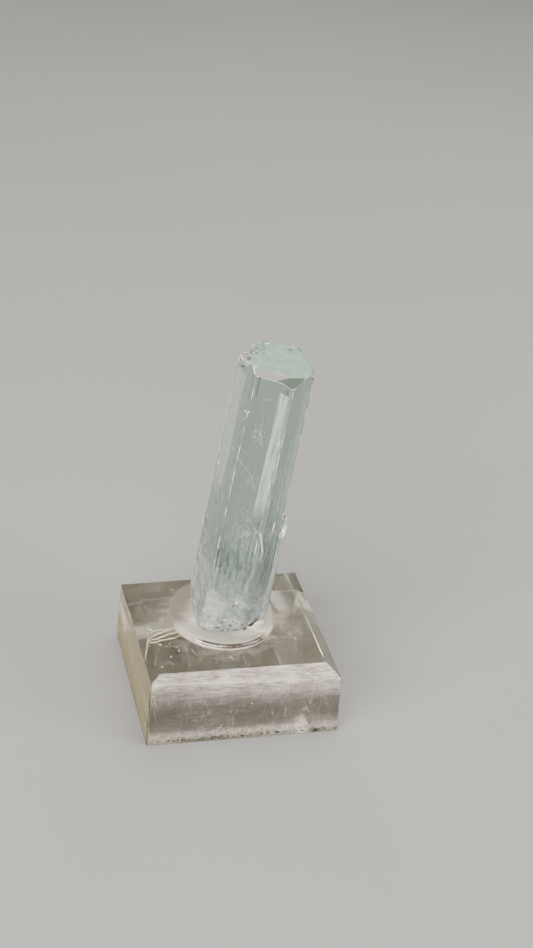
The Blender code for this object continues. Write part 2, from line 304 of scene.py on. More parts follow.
def top_height(spot):
    """Height of the end as it is, with the shoulder, the flake, the back bevel and the dents taken away."""
    height = whole_top(spot)
    inward, _ = turned(spot, SHOULDER_WALL[1], SHOULDER_WALL[0])
    floor = 47.43 - 0.087 * (spot[..., 0] + 4.48) - 0.035 * (spot[..., 1] - 0.6) + 0.05 * waves(spot, 0.9, 3)
    height = np.minimum(height, floor + (LENGTH - floor) * smooth_step(-0.10, 0.16, inward))
    across, along = turned(spot, FLAKE_CENTRE, FLAKE_TURN)
    flake = 48.37 - 0.052 * across + 0.035 * along + 0.04 * waves(spot, 0.8, 5)
    outside = np.maximum(smooth_step(1.60, 1.78, across), smooth_step(2.50, 2.66, -along))
    height = np.minimum(height, flake + (LENGTH - flake) * outside)
    heading, reach, slope = BACK_BEVEL
    sideways, outward = turned(spot, (0, 0), heading - 90)
    bevel = LENGTH - (outward - reach) * math.tan(math.radians(slope))
    height = np.minimum(height, np.where(np.abs(sideways + 1.7) < 2.6, bevel, LENGTH))
    for centre, size, turn in TOP_DENTS:
        height = dented(height, spot, centre, size, turn)
    return height


def foot_height(spot):
    """Height of the underside: the highest of the level rest and the slanting breaks round the foot."""
    level = PLANE_REACH[-1] - spot @ PLANES[-1, :2]
    height = level / PLANES[-1, 2]
    for heading, start, angle in FOOT_BREAKS:
        height = np.maximum(height, start + (spot @ flat(heading) - FOOT_REACH) / math.tan(math.radians(angle)))
    return height


# %% [markdown]
# ## Steps, grooves and the side growth
#
# On the sides the surface moves along the side's own normal. Two broad strips are raised growth steps, a channel
# runs down the front left edge from the top, and thin grooves follow the prism. A smaller parallel crystal has
# grown on to the right edge; along each level ray the skin goes out to whichever of the two crystals is further.

# %% Relief of the sides
STEP_RISE = 0.12
CHANNEL = (-120, 5.56, 41.7, 48.4)  # heading and distance of its floor, lowest and highest point
GROWTH_PLANES = (
    # A point on the plane, and its outward normal.
    ((6.95, 0.0, 20.1), (0.04, -0.766, 0.642)),
    ((6.95, 0.0, 20.1), (1.0, 0.0, 0.002)),
    ((2.15, -3.724, 20.1), (0.5, -0.866, 0.002)),
    ((5.30, 3.06, 20.1), (0.866, 0.5, 0.002)),
    ((0.0, 1.0, 20.1), (0.0, 1.0, 0.002)),
    ((6.95, 0.0, 2.6), (0.788, 0.0, -0.616)),
    ((4.50, 0.0, 0.0), (-1.0, 0.0, 0.0)),
)


def front_relief(across, height):
    """Front side: a raised band on the right, a fine groove beside it, a short groove and a long ridge on the left."""
    right = 3.32 - 0.02 * (47.0 - height)
    band = smooth_step(1.50, 2.00, across) * smooth_step(right, right - 0.12, across)
    band *= smooth_step(23.4, 23.7, height) * smooth_step(47.5, 47.1, height)
    seam = np.exp(-(((across - 3.70) / 0.07) ** 2)) * smooth_step(29.0, 31.0, height) * smooth_step(46.5, 45.5, height)
    groove = np.exp(-(((across + 1.56) / 0.13) ** 2)) * smooth_step(44.6, 45.2, height)
    ridge = np.exp(-(((across + 1.90) / 0.09) ** 2)) * smooth_step(21.0, 26.0, height) * smooth_step(46.0, 44.0, height)
    return 0.6 * STEP_RISE * band - 0.07 * seam - 0.16 * groove + 0.035 * ridge, band


def front_left_relief(across, height):
    """Front left side: the outer half is a raised strip with a slanting end, and a fine seam runs near the front."""
    top_end = 46.9 - 0.6 * np.abs(across + 1.2)
    strip = smooth_step(0.20, 0.05, across) * smooth_step(14.6, 16.2, height) * smooth_step(top_end + 0.3, top_end, height)
    seam = np.exp(-(((across - 2.60) / 0.08) ** 2)) * smooth_step(19.0, 22.0, height) * smooth_step(41.5, 39.5, height)
    return STEP_RISE * strip - 0.05 * seam, strip


def striations(side, across, height):
    """Growth lines along the prism: plateaux of uneven width with soft borders, a few thousandths of a millimetre."""
    line = np.stack([across + 3.7 * side, 0.012 * height], axis=-1)
    broad = np.tanh(2.0 * waves(line, 1.1, 11))
    fine = np.tanh(2.0 * waves(line, 0.45, 12))
    return 0.005 * broad + 0.002 * fine


def growth_reach(ray, height):
    """How far the side growth reaches along level rays from the middle, or 0 where a ray misses it."""
    near, far = np.zeros(height.shape), np.full(height.shape, 1e3)
    for point, normal in GROWTH_PLANES:
        facing = ray @ np.array(normal[:2])
        room = np.dot(point, normal) - normal[2] * height
        distance = room / np.where(np.abs(facing) < 1e-9, 1e-9, facing)
        far = np.where(facing > 0, np.minimum(far, distance), far)
        near = np.where(facing < 0, np.maximum(near, distance), near)
    return np.where(far > near, far, 0.0)


# %% [markdown]
# ## The crystal's skin
#
# The skin is one stack of rings in three stretches. Rings shrink from the middle of the foot out to its rim, climb
# the sides, and shrink again over the end. Each column stays on one side of the prism and starts and ends on the
# real rim, so the crisp edges fall on lines of the grid. Then every edge is rounded a little: a soft maximum of
# the distances to all planes is positive just outside the edges, and each point that lies outside is pulled back.

# %% Build the skin
COLUMNS, SIDE_ROWS, TOP_ROWS, FOOT_ROWS = 250, 230, 56, 34
EDGE_SHARPNESS, FOOT_SHARPNESS = 16.0, 2.6  # per millimetre: an edge's radius is about two over this


def column_plan():
    """Which side each column is on, and its share of the way along it: closer together near the edges."""
    sides = np.arange(len(SIDES))
    width = np.linalg.norm(side_corner((sides + 1) % len(SIDES), LENGTH) - side_corner(sides, LENGTH), axis=-1)
    counts = np.maximum(np.round(width / width.sum() * (COLUMNS - 20)).astype(int) + 2, 6)
    counts[np.argmax(counts)] += COLUMNS - counts.sum()
    side = np.repeat(sides, counts)
    even = np.concatenate([np.arange(count) / count for count in counts])
    return side, 0.45 * even + 0.55 * (0.5 - 0.5 * np.cos(np.pi * even))


def rim(side, share, height_of):
    """The rim where the sides meet the end or the foot, by going back and forth between place and height."""
    height = np.full(side.shape, LENGTH / 2)
    for _ in range(4):
        spot = side_point(side, share, height)
        height = height_of(spot)
    return spot, height


def soft_planes(points):
    """Distance outside the soft maximum of all planes, log(sum(exp(k d))) / k, and each plane's weight in it.
    The sharpness k is low at the worn foot and high above it."""
    distance = points @ PLANES.T - PLANE_REACH
    above = smooth_step(0.8, 5.0, points[..., 2])
    sharpness = FOOT_SHARPNESS + (EDGE_SHARPNESS - FOOT_SHARPNESS) * above
    weight = np.exp(sharpness[..., None] * np.clip(distance, -4.0, 2.0))
    return np.log(weight.sum(axis=-1)) / sharpness, weight


def rounded(points):
    """Pulls points that lie outside the soft maximum of all planes back on to it."""
    for _ in range(3):
        excess, weight = soft_planes(points)
        outward = (weight[..., None] * PLANES).sum(axis=-2) / weight.sum(axis=-1)[..., None]
        steep = (outward**2).sum(axis=-1)
        points = points - (np.clip(excess, 0.0, 0.5) / steep)[..., None] * outward
    return points


def lumps(points, size):
    """Bumps of the broken foot, strongest low down."""
    return size * waves(points, 1.5, 22) * smooth_step(3.2, 0.8, points[..., 2])


def with_relief(points, side):
    """Moves the side rings by their relief, and out to the side growth. Also returns how frosted each point is."""
    height = points[..., 2]
    normal = flat(SIDES[side, 0])[None]
    along = np.stack([-normal[..., 1], normal[..., 0]], axis=-1)
    across = (points[..., :2] * along).sum(axis=-1)
    front, band = front_relief(across, height)
    left, strip = front_left_relief(across, height)
    rise = np.where(side == 1, front, 0.0) + np.where(side == 0, left, 0.0)
    rise = rise + striations(side[None, :], across, height) + lumps(points, 0.07)
    spot = points[..., :2] + rise[..., None] * normal
    heading, reach, low, high = CHANNEL
    beyond = spot @ flat(heading) - reach
    inside = smooth_step(low, low + 0.25, height) * smooth_step(high, high - 0.1, height)
    spot = spot - (np.clip(beyond, 0.0, None) * inside)[..., None] * flat(heading)
    radius = np.linalg.norm(spot, axis=-1)
    ray = spot / radius[..., None]
    grown = growth_reach(ray, height)
    spot = ray * np.maximum(radius, grown)[..., None]
    frost = 0.30 * np.where(side == 1, band, 0.0) + 0.34 * np.where(side == 0, strip, 0.0)
    return np.concatenate([spot, height[..., None]], axis=-1), frost


def crystal_rings():
    """All rings of the crystal in its own frame, the frost on each point, and which ring is the top rim."""
    side, share = column_plan()
    low_spot, low = rim(side, share, foot_height)
    high_spot, high = rim(side, share, top_height)
    part = np.linspace(0.0, 1.0, SIDE_ROWS)[:, None]
    height = low + (high - low) * part
    walls = np.concatenate([side_point(side, share, height), height[..., None]], axis=-1)
    walls, wall_frost = with_relief(rounded(walls), side)
    shrink = np.linspace(0.0, 1.0, TOP_ROWS + 1)[1:-1, None, None] ** 1.15
    spot = high_spot * (1.0 - shrink)
    end = np.concatenate([spot, top_height(spot)[..., None]], axis=-1)
    broken = smooth_step(0.02, 0.10, whole_top(spot) - end[..., 2])
    end = rounded(end)
    shrink = np.linspace(1.0, 0.0, FOOT_ROWS + 1)[1:-1, None, None]
    spot = low_spot * (1.0 - shrink)
    foot = np.concatenate([spot, foot_height(spot)[..., None]], axis=-1)
    foot = rounded(foot)
    foot[..., 2] += lumps(foot, 0.12) * smooth_step(0.0, 0.3, 1.0 - shrink[..., 0])
    top_frost = 1.0 - 0.85 * broken
    near_rim = smooth_step(0.30, 0.0, high - height)
    near_foot = 0.55 * smooth_step(9.0, 2.0, height + 0.6 * waves(walls, 3.0, 31))
    wall_frost = np.maximum(np.maximum(wall_frost, near_foot), 0.7 * near_rim)
    rings = np.concatenate([foot, walls, end])
    frost = np.concatenate([np.full(foot.shape[:2], 0.6), wall_frost, top_frost])
    return rings, frost


crystal_local, crystal_frost = crystal_rings()
print("crystal rings:", crystal_local.shape[:2], "highest", round(crystal_local[..., 2].max(), 2), "mm")

# %% [markdown]
# ## The acrylic block
#
# The block is a sawn and polished slab. Its sides lean in a little, and the bevel round its top is uneven, because
# it was filed by hand: at one corner it hardly drops at all. So every level of the block is a four-cornered outline
# with its own corners. A path with rounded bends runs up each of the four uprights, and each ring joins the four
# paths at one step with rounded corners. Extra rings just beyond each bend keep the large flats looking flat.

# %% Rings of the block
BLOCK_HALF, DRAFT = 16.0, 0.3
CORNER_SIDES = np.array([(-1, -1), (1, -1), (1, 1), (-1, 1)])
# Reach of the bevel in x and in y, and how far it drops, at the same four corners.
CORNER_BEVELS = np.array([(2.1, 2.7, 0.3), (2.4, 2.7, 1.7), (2.5, 2.5, 1.3), (2.8, 3.0, 1.8)])


def bent_path(keys, radii):
    """A path through key points whose inner keys are rounded off. Each bend is a quadratic Bezier curve,
    (1-t)^2 a + 2t(1-t) k + t^2 b, with one more point before and after it to hold the straights."""
    path = [keys[0]]
    for before, key, after, radius in zip(keys[:-2], keys[1:-1], keys[2:], radii):
        back = (before - key) / np.linalg.norm(before - key)
        ahead = (after - key) / np.linalg.norm(after - key)
        path.append(key + back * 1.7 * radius)
        for t in np.linspace(0.0, 1.0, 6):
            path.append(key + radius * ((1 - t) ** 2 * back + t * t * ahead))
        path.append(key + ahead * 1.7 * radius)
    path.append(keys[-1])
    return np.array(path)


def outline(corners, radius, straight=34, bend=8):
    """A closed outline through four corners, each rounded off by a quadratic Bezier curve."""
    points = []
    for index in range(4):
        corner, after, before = corners[index], corners[(index + 1) % 4], corners[index - 1]
        back = (before - corner) / np.linalg.norm(before - corner)
        ahead = (after - corner) / np.linalg.norm(after - corner)
        t = np.linspace(0.0, 1.0, bend)[:, None]
        points.append(corner + radius[index] * ((1 - t) ** 2 * back + t * t * ahead))
        start = corner + radius[index] * ahead
        end = after - radius[(index + 1) % 4] * ahead
        share = np.linspace(0.0, 1.0, straight + 1)[1:-1]
        share = (0.4 * share + 0.6 * (0.5 - 0.5 * np.cos(np.pi * share)))[:, None]
        points.append(start + (end - start) * share)
    return np.concatenate(points)


def block_rings():
    """The block from the middle of its underside to the middle of its top."""
    uprights = []
    for (side_x, side_y), (reach_x, reach_y, drop) in zip(CORNER_SIDES, CORNER_BEVELS):
        level = np.array([side_x, side_y, 0.0])
        top = np.array([0.0, 0.0, BLOCK_TOP])
        edge = level * BLOCK_HALF
        wall = level * (BLOCK_HALF - DRAFT) + top - np.array([0.0, 0.0, drop])
        crest = level * (BLOCK_HALF - np.array([reach_x, reach_y, 0.0])) + top
        uprights.append(bent_path([level * (BLOCK_HALF - 1.5), edge, wall, crest, crest - level * 1.5], [0.16, 0.12, 0.10]))
    uprights = np.array(uprights)
    steps = uprights.shape[1]
    low_radius, high_radius = np.array([0.60, 0.45, 0.45, 0.45]), np.array([0.30, 0.30, 0.70, 0.30])
    rings = []
    for step in range(steps):
        share = smooth_step(9, 20, float(step))
        rings.append(outline(uprights[:, step], low_radius + (high_radius - low_radius) * share))
    rings = np.array(rings)
    under, over = rings[0].mean(axis=0), rings[-1].mean(axis=0)
    shrink = np.array([0.15, 0.4, 0.7])[:, None, None]
    return np.concatenate([under + (rings[0] - under) * shrink, rings, over + (rings[-1] - over) * shrink[::-1]])


block_world = block_rings()
print("block rings:", block_world.shape[:2])

# %% [markdown]
# ## The glue
#
# The glue is a low round puddle that has crept up the foot. Its skin starts in the middle underneath, runs out to
# the rim, climbs a bulging wall, rises over the dome to the crystal, and then goes down again inside, just under the
# crystal's own surface, to make the pocket that the foot stands in. Glue and stone overlap by a few hundredths of a
# millimetre there. That is how a render gets two clear bodies that are stuck together: with a gap between them,
# light would cross a film of air and the joint would shine like a mirror. In two places at the front right the glue
# did stay off the stone, and there the pocket's wall steps back and leaves a real pocket of air.

# %% Rings of the glue
COLLAR_CENTRE = np.array([-0.8, 1.0])
# Every 30 degrees from +X round through +Y: reach of the rim, and height at which the glue meets the crystal.
COLLAR_REACH = (8.8, 9.9, 10.4, 10.7, 10.5, 9.4, 9.1, 8.9, 9.1, 9.3, 9.2, 8.9)
COLLAR_CLIMB = (2.8, 2.9, 2.9, 2.8, 2.8, 2.7, 2.1, 1.4, 1.1, 1.2, 1.9, 2.6)
COLLAR_WALL, LIP = 1.02, 0.80
COLLAR_COLUMNS = 220
# Heading seen from the crystal's middle, height over the block, half width in degrees, half height, depth.
AIR_POCKETS = ((-54, 1.25, 9, 0.42, 0.40), (-31, 1.75, 12, 0.50, 0.42), (8, 2.05, 7, 0.30, 0.25))


def around(values, heading):
    """A closed Catmull-Rom curve through values at even headings, read at any heading in degrees."""
    values = np.asarray(values)
    place = (np.asarray(heading) / 360.0 * len(values)) % len(values)
    start = np.floor(place).astype(int)
    t = place - start
    a, b, c, d = (values[(start + offset) % len(values)] for offset in (-1, 0, 1, 2))
    return 0.5 * (2 * b + (c - a) * t + (2 * a - 5 * b + 4 * c - d) * t**2 + (3 * b - a - 3 * c + d) * t**3)


def stone_reach(heading, height, inset):
    """How far the stone reaches along level rays from the glue's centre, less an inset. The range is halved again
    and again: its near end stays inside the stone, and its far end outside."""
    near, far = np.zeros(heading.shape), np.full(heading.shape, 10.0)
    for _ in range(24):
        middle = (near + far) / 2
        spot = COLLAR_CENTRE + flat(heading) * middle[:, None]
        points = np.concatenate([spot, np.broadcast_to(height, heading.shape)[:, None]], axis=-1)
        inside = soft_planes(to_crystal(points))[0] < -inset
        near, far = np.where(inside, middle, near), np.where(inside, far, middle)
    return near


def glue_rings():
    """The glue from the middle of its underside to the middle of the pocket's floor."""
    heading = np.arange(COLLAR_COLUMNS) / COLLAR_COLUMNS * 360.0
    reach, climb = around(COLLAR_REACH, heading), around(COLLAR_CLIMB, heading)
    rings = []

    def add(distance, height):
        spot = COLLAR_CENTRE + flat(heading) * np.broadcast_to(distance, heading.shape)[:, None]
        rings.append(np.concatenate([spot, np.broadcast_to(height, heading.shape)[:, None]], axis=-1))

    bottom = BLOCK_TOP - 0.045
    for share in (0.25, 0.5, 0.75, 0.93, 0.985):
        add(reach * share, bottom)
    add(reach - 0.02, bottom)
    for turn in np.radians(np.linspace(-12.0, 90.0, 13)):
        sink = LIP * (1.0 - np.cos(turn)) ** 1.1
        add(reach - sink, BLOCK_TOP + 0.18 + (COLLAR_WALL - 0.18) * np.sin(turn))
    contact = stone_reach(heading, BLOCK_TOP + climb, 0.13)
    for share in np.linspace(0.0, 1.0, 26)[1:]:
        lift = 0.30 * share + 0.70 * share**2.4
        distance = (reach - LIP) + (contact - reach + LIP) * share
        add(distance, BLOCK_TOP + COLLAR_WALL + (climb - COLLAR_WALL) * lift)
    floor = FOOT_LEVEL + 0.45
    for share in np.linspace(0.0, 1.0, 22)[1:]:
        height = BLOCK_TOP + climb + (floor - BLOCK_TOP - climb) * share
        wall = stone_reach(heading, height, 0.13 + 0.08 * share)
        for side, level, half_width, half_height, depth in AIR_POCKETS:
            off = (((heading - side + 180) % 360 - 180) / half_width) ** 2
            off = off + ((height - BLOCK_TOP - level) / half_height) ** 2
            wall = wall + (depth + 0.05) * smooth_step(1.0, 0.35, off)
        add(wall, height)
    for share in (0.8, 0.5, 0.2):
        add(wall * share, floor)
    return np.array(rings)


glue_world = glue_rings()
print("glue rings:", glue_world.shape[:2], "climbs to", round(glue_world[..., 2].max() - BLOCK_TOP, 2), "mm")

# %% [markdown]
# ## The sanded bevel and painted sheen
#
# The front bevel and the top of the front wall look hazy and pale: partly a sanded finish, and partly painted sheen
# that makes them as bright as a reflection would. The left wall has turned yellowish, the bottom of the front is darker
# in patches, and the top is pale round the glue, partly a smudge and partly painted sheen. All of it is a film a
# hundredth of a millimetre thick that lies on the plastic.

# %% Haze on the front and the left
FRONT_COLUMNS, LEFT_COLUMNS = np.arange(3, 46), np.arange(127, 166) % block_world.shape[1]
WALL_TOP_RING, CREST_RING = 12, 24
WALL_SHARES = (0.02, 0.10, 0.22, 0.50, 0.66, 0.76, 0.86, 0.95)
# The strong cover on the bevel rings and at the top of the front wall is partly painted sheen.
FRONT_HAZE_AND_SHEEN = (0.16, 0.15, 0.05, 0.03, 0.05, 0.14, 0.26, 0.33) + 6 * (0.50,) + 3 * (0.62,) + (0.60, 0.30, 0.0)
LEFT_COVER = (0.42, 0.42, 0.40, 0.38, 0.36, 0.34, 0.32, 0.28) + 6 * (0.20,) + 6 * (0.0,)


def block_haze(columns, strength):
    """A slab over one wall and its bevel, and how strong the haze is at each point."""
    wall = [block_world[11] + (block_world[12] - block_world[11]) * share for share in WALL_SHARES]
    rings = np.concatenate([wall, block_world[WALL_TOP_RING:CREST_RING]])
    step = np.roll(rings, -1, axis=1) - np.roll(rings, 1, axis=1)
    normal = unit(np.cross(step, np.gradient(rings, axis=0)))[:, columns]
    sheet = rings[:, columns]
    both = np.concatenate([sheet + 0.012 * normal, (sheet + 0.004 * normal)[:, ::-1]], axis=1)
    cover = np.repeat(np.array(strength)[:, None], both.shape[1], axis=1)
    return (skin_points(both), *skin_faces(*both.shape[:2])), np.append(cover.reshape(-1), [0.0, 0.0])


def top_smudge_and_sheen():
    """A film over the flat top, strongest round the glue, partly smudge and partly painted sheen: out from the middle
    close to the plastic, and back a little above it.
    """
    top = block_world[CREST_RING:]
    rings = np.concatenate([top[::-1] + np.array([0.0, 0.0, 0.004]), top + np.array([0.0, 0.0, 0.012])])
    reach = np.linalg.norm(rings[..., :2] - COLLAR_CENTRE, axis=-1)
    cover = 0.12 + 0.88 * smooth_step(14.5, 8.5, reach)
    cover = cover * smooth_step(6.8, 7.8, reach)
    return (skin_points(rings), *skin_faces(*rings.shape[:2])), np.append(cover.reshape(-1), [0.0, 0.0])


hazes = [block_haze(FRONT_COLUMNS, FRONT_HAZE_AND_SHEEN), block_haze(LEFT_COLUMNS, LEFT_COVER), top_smudge_and_sheen()]
haze_shape = joined([shape for shape, _ in hazes])
haze_cover = np.concatenate([cover for _, cover in hazes])
haze_shape = (np.clip(haze_shape[0], -15.999, 15.999), *haze_shape[1:])
print("haze on the walls:", len(haze_cover), "points")

# %% [markdown]
# ## Tools for the small things
#
# The flaws in the stone, the bubbles in the glue and the dust on the block are hundreds of small closed shapes.
# Each kind is joined into one mesh. A speck or a needle is a stretched octahedron: eight faces are enough for
# something thinner than a hair. A crack or a strand is a tube along a path, and a bubble is a ball turned inside
# out, so that its faces point out of the glue and into the air.

# %% Octahedra, tubes and balls
OCTAHEDRON = np.array([(0, 2, 3), (0, 3, 4), (0, 4, 5), (0, 5, 2), (1, 3, 2), (1, 4, 3), (1, 5, 4), (1, 2, 5)])
NO_QUADS = np.zeros((0, 4), int)


def octahedra(centres, axes, lengths, widths, spin=0.0):
    """One octahedron round each centre: its two tips lie along the axis, the other four corners across it."""
    axes = unit(np.asarray(axes, float))
    helper = np.where(np.abs(axes[:, :1]) < 0.8, [[1.0, 0.0, 0.0]], [[0.0, 1.0, 0.0]])
    first = unit(np.cross(axes, helper))
    second = np.cross(axes, first)
    first, second = first * np.cos(spin) + second * np.sin(spin), second * np.cos(spin) - first * np.sin(spin)
    reach, half = axes * lengths[:, None] / 2, widths[:, None] / 2
    offsets = np.stack([reach, -reach, first * half, second * half, -first * half, -second * half], axis=1)
    points = (centres[:, None] + offsets).reshape(-1, 3)
    triangles = (np.arange(len(centres))[:, None, None] * 6 + OCTAHEDRON).reshape(-1, 3)
    return points, NO_QUADS, triangles


def tube(path, radius, sides=6):
    """A tube along a path: rings square to the path, each round its own point, with this radius at each point."""
    path = np.asarray(path, float)
    ahead = unit(np.gradient(path, axis=0))
    helper = np.eye(3)[np.argmin(np.abs(ahead.mean(axis=0)))]
    first = unit(np.cross(helper, ahead))
    second = np.cross(ahead, first)
    turn = np.arange(sides) / sides * 2 * np.pi
    ring = np.cos(turn)[:, None] * first[:, None] + np.sin(turn)[:, None] * second[:, None]
    rings = path[:, None] + np.broadcast_to(radius, len(path))[:, None, None] * ring
    return skin_points(rings), *skin_faces(*rings.shape[:2])


def smooth_path(keys, count):
    """A Catmull-Rom curve through key points: between b and c it is the cubic with tangents (c-a)/2 and (d-b)/2."""
    keys = np.asarray(keys, float)
    keys = np.concatenate([2 * keys[:1] - keys[1:2], keys, 2 * keys[-1:] - keys[-2:-1]])
    place = np.linspace(0, len(keys) - 3 - 1e-9, count)
    start = place.astype(int)
    t = (place - start)[:, None]
    a, b, c, d = (keys[start + offset] for offset in range(4))
    return 0.5 * (2 * b + (c - a) * t + (2 * a - 5 * b + 4 * c - d) * t**2 + (3 * b - a - 3 * c + d) * t**3)


def bubbles(centres, radii, columns=12, rows=7):
    """Balls turned inside out: rings of latitude, with every face's corners taken in the other order."""
    rise = np.linspace(-1, 1, rows + 2)[1:-1] * np.pi / 2
    turn = np.arange(columns) / columns * 2 * np.pi
    ball = np.stack([np.cos(rise)[:, None] * np.cos(turn), np.cos(rise)[:, None] * np.sin(turn),
                     np.broadcast_to(np.sin(rise)[:, None], (rows, columns))], axis=-1)
    poles = np.array([(0, 0, -1), (0, 0, 1)])
    points = np.concatenate([ball.reshape(-1, 3), poles])
    quads, triangles = skin_faces(rows, columns)
    shapes = [(centre + radius * points, quads[:, ::-1], triangles[:, ::-1]) for centre, radius in zip(centres, radii)]
    return joined(shapes)


# %% [markdown]
# ## Growth tubes and the milky foot
#
# A beryl crystal is full of hollow tubes, thinner than a hair, that all run along its length. Towards the foot they
# crowd together until the stone looks like watered milk. They are scattered inside the prism's planes with more of
# them lower down, and a seed makes the scatter the same each time.

# %% Scatter the tubes
INSIDE_MARGIN = 0.16


def depth_inside(points):
    """Distance under the nearest plane of the crystal, negative outside it."""
    return -(points @ PLANES.T - PLANE_REACH).max(axis=-1)


def scattered(count, low, high, fade, seed, lengths, keep=None):
    """Centres and lengths of needles inside the prism. Their number falls off with height as exp(-z / fade)."""
    rng = np.random.default_rng(seed)
    tries = 6 * count
    share = rng.uniform(0, 1, tries)
    height = low - fade * np.log(1 - share * (1 - math.exp((low - high) / fade)))
    centres = np.stack([rng.uniform(-6.3, 6.3, tries), rng.uniform(-6.3, 6.3, tries), height], axis=-1)
    length = rng.uniform(*lengths, tries)
    half = np.array([0.0, 0.0, 0.5]) * length[:, None]
    good = np.minimum(depth_inside(centres + half), depth_inside(centres - half)) > INSIDE_MARGIN
    if keep is not None:
        good &= keep(centres)
    return centres[good][:count], length[good][:count], rng


def along_prism(count, rng, spread=0.02):
    return np.stack([rng.normal(0, spread, count), rng.normal(0, spread, count), np.ones(count)], axis=-1)


def in_front_veil(centres):
    return (centres[:, 0] > -1.3) & (centres[:, 0] < 4.6) & (centres[:, 1] < -2.6)


def in_bundles(centres):
    """Tubes crowd into bundles: a wave field over the prism's cross-section says where."""
    return waves(centres[:, :2], 1.6, 71) > 0.25


def at_left(centres):
    return centres[:, 0] < -2.8


def growth_tubes():
    shapes = []
    for count, low, high, fade, seed, lengths, width, keep in (
        (8500, 0.3, 12.5, 4.6, 41, (0.5, 2.4), 0.050, None),
        (3000, 2.0, 18.0, 8.0, 44, (1.0, 4.0), 0.055, in_bundles),
        (900, 6.0, 44.0, 7.0, 45, (1.0, 4.0), 0.045, at_left),
        (420, 5.0, 44.0, 14.0, 42, (1.5, 6.0), 0.032, None),
        (420, 8.0, 40.0, 6.0, 43, (1.0, 4.5), 0.055, in_front_veil),
    ):
        centres, length, rng = scattered(count, low, high, fade, seed, lengths, keep)
        widths = width * rng.uniform(0.5, 1.3, len(centres))
        shapes.append(octahedra(centres, along_prism(len(centres), rng), length, widths))
    for count, low, high, fade, seed, size, keep in (
        (4600, 0.3, 7.5, 3.0, 51, 0.15, None),
        (800, 11.0, 40.0, 7.5, 52, 0.10, in_front_veil),
        (160, 20.0, 46.0, 60.0, 53, 0.060, None),
    ):
        centres, _, rng = scattered(count, low, high, fade, seed, (0.1, 0.1), keep)
        sizes = size * rng.uniform(0.5, 1.6, len(centres))
        shapes.append(octahedra(centres, rng.normal(size=centres.shape), sizes, sizes * 0.8))
    return joined(shapes)


tube_shapes = growth_tubes()
print("growth tubes and specks:", len(tube_shapes[2]) // 8)

# %% [markdown]
# ## Healed cracks
#
# Old cracks that grew shut again show as white threads and arcs close under the front. Their places are given in
# the crystal's own frame, on the surface, and a small distance under it.

# %% Cracks, squiggles and flecks
# Radius of the thread and the points it runs through.
HEALED_CRACKS = (
    (0.085, ((-6.05, 1.18, 33.37), (-4.98, -0.84, 33.57), (-4.41, -1.85, 32.40), (-4.23, -2.19, 31.16))),
    (0.045, ((-4.21, -2.18, 33.53), (-3.26, -3.83, 33.69), (-2.69, -4.81, 33.43), (-2.34, -5.29, 33.21),
             (-1.11, -5.30, 32.20), (0.13, -5.31, 31.01), (0.75, -5.32, 29.77), (1.37, -5.33, 28.53))),
    (0.050, ((2.02, -5.39, 22.1), (2.81, -5.40, 21.4), (3.60, -5.41, 20.8), (4.09, -5.42, 19.4),
             (4.42, -5.44, 17.7), (4.60, -5.46, 15.6))),
    (0.040, ((-1.20, -5.2, 40.3), (-0.70, -5.2, 39.2), (-0.95, -5.2, 38.4), (-0.30, -5.2, 37.6), (-0.50, -5.2, 36.9))),
    (0.035, ((-0.35, -5.2, 39.7), (0.15, -5.2, 38.7), (0.45, -5.2, 37.9), (0.30, -5.2, 37.2), (0.95, -5.2, 36.4))),
    (0.030, ((-1.00, -5.2, 38.9), (-0.55, -5.2, 38.6), (-0.20, -5.2, 38.9), (0.35, -5.2, 39.4))),
    (0.050, ((1.56, -5.1, 18.8), (1.58, -5.1, 17.0), (1.52, -5.1, 15.0))),
    (0.055, ((2.66, -5.1, 21.2), (2.68, -5.1, 18.0), (2.62, -5.1, 14.5))),
    (0.060, ((4.67, -3.19, 37.9), (4.75, -3.05, 33.5), (4.90, -2.96, 29.1), (4.96, -2.97, 23.3))),
    (0.070, ((5.83, -1.10, 42.6), (5.86, -1.05, 41.4))),
    (0.050, ((-2.60, -4.45, 31.0), (-2.66, -4.40, 25.0), (-2.62, -4.42, 20.0))),
    (0.030, ((-0.20, -5.15, 15.4), (-0.22, -5.15, 12.2), (-0.18, -5.15, 9.6))),
    (0.035, ((0.60, -5.10, 14.6), (0.62, -5.10, 11.8), (0.58, -5.10, 9.2))),
    (0.030, ((3.60, -5.10, 15.0), (3.64, -5.10, 12.0), (3.58, -5.10, 9.4))),
)
# Centre, length and width of single bright flecks: white inclusions, and near the top rim painted glints of chips.
FLECKS_AND_GLINTS = (
    ((-0.34, -5.0, 44.4), 0.35, 0.22), ((0.26, -5.0, 44.6), 0.30, 0.24), ((2.37, -5.1, 43.0), 0.70, 0.30),
    ((2.20, -4.9, 46.6), 0.35, 0.20), ((-3.01, -4.00, 42.9), 0.80, 0.28), ((-2.84, -4.20, 41.2), 0.60, 0.45),
    ((-5.60, 0.51, 28.1), 0.70, 0.35), ((5.13, -2.60, 21.4), 2.60, 0.55), ((5.05, -2.62, 24.6), 4.2, 0.26),
    ((1.10, -5.1, 22.6), 0.60, 0.30), ((0.20, -5.1, 23.3), 0.50, 0.26), ((-0.90, -5.1, 20.6), 0.70, 0.28),
    ((1.30, -5.1, 7.2), 0.35, 0.80), ((1.90, -5.1, 6.0), 0.30, 0.60), ((2.60, -5.0, 5.6), 0.40, 0.35),
)
CRACK_DEPTH = 0.02


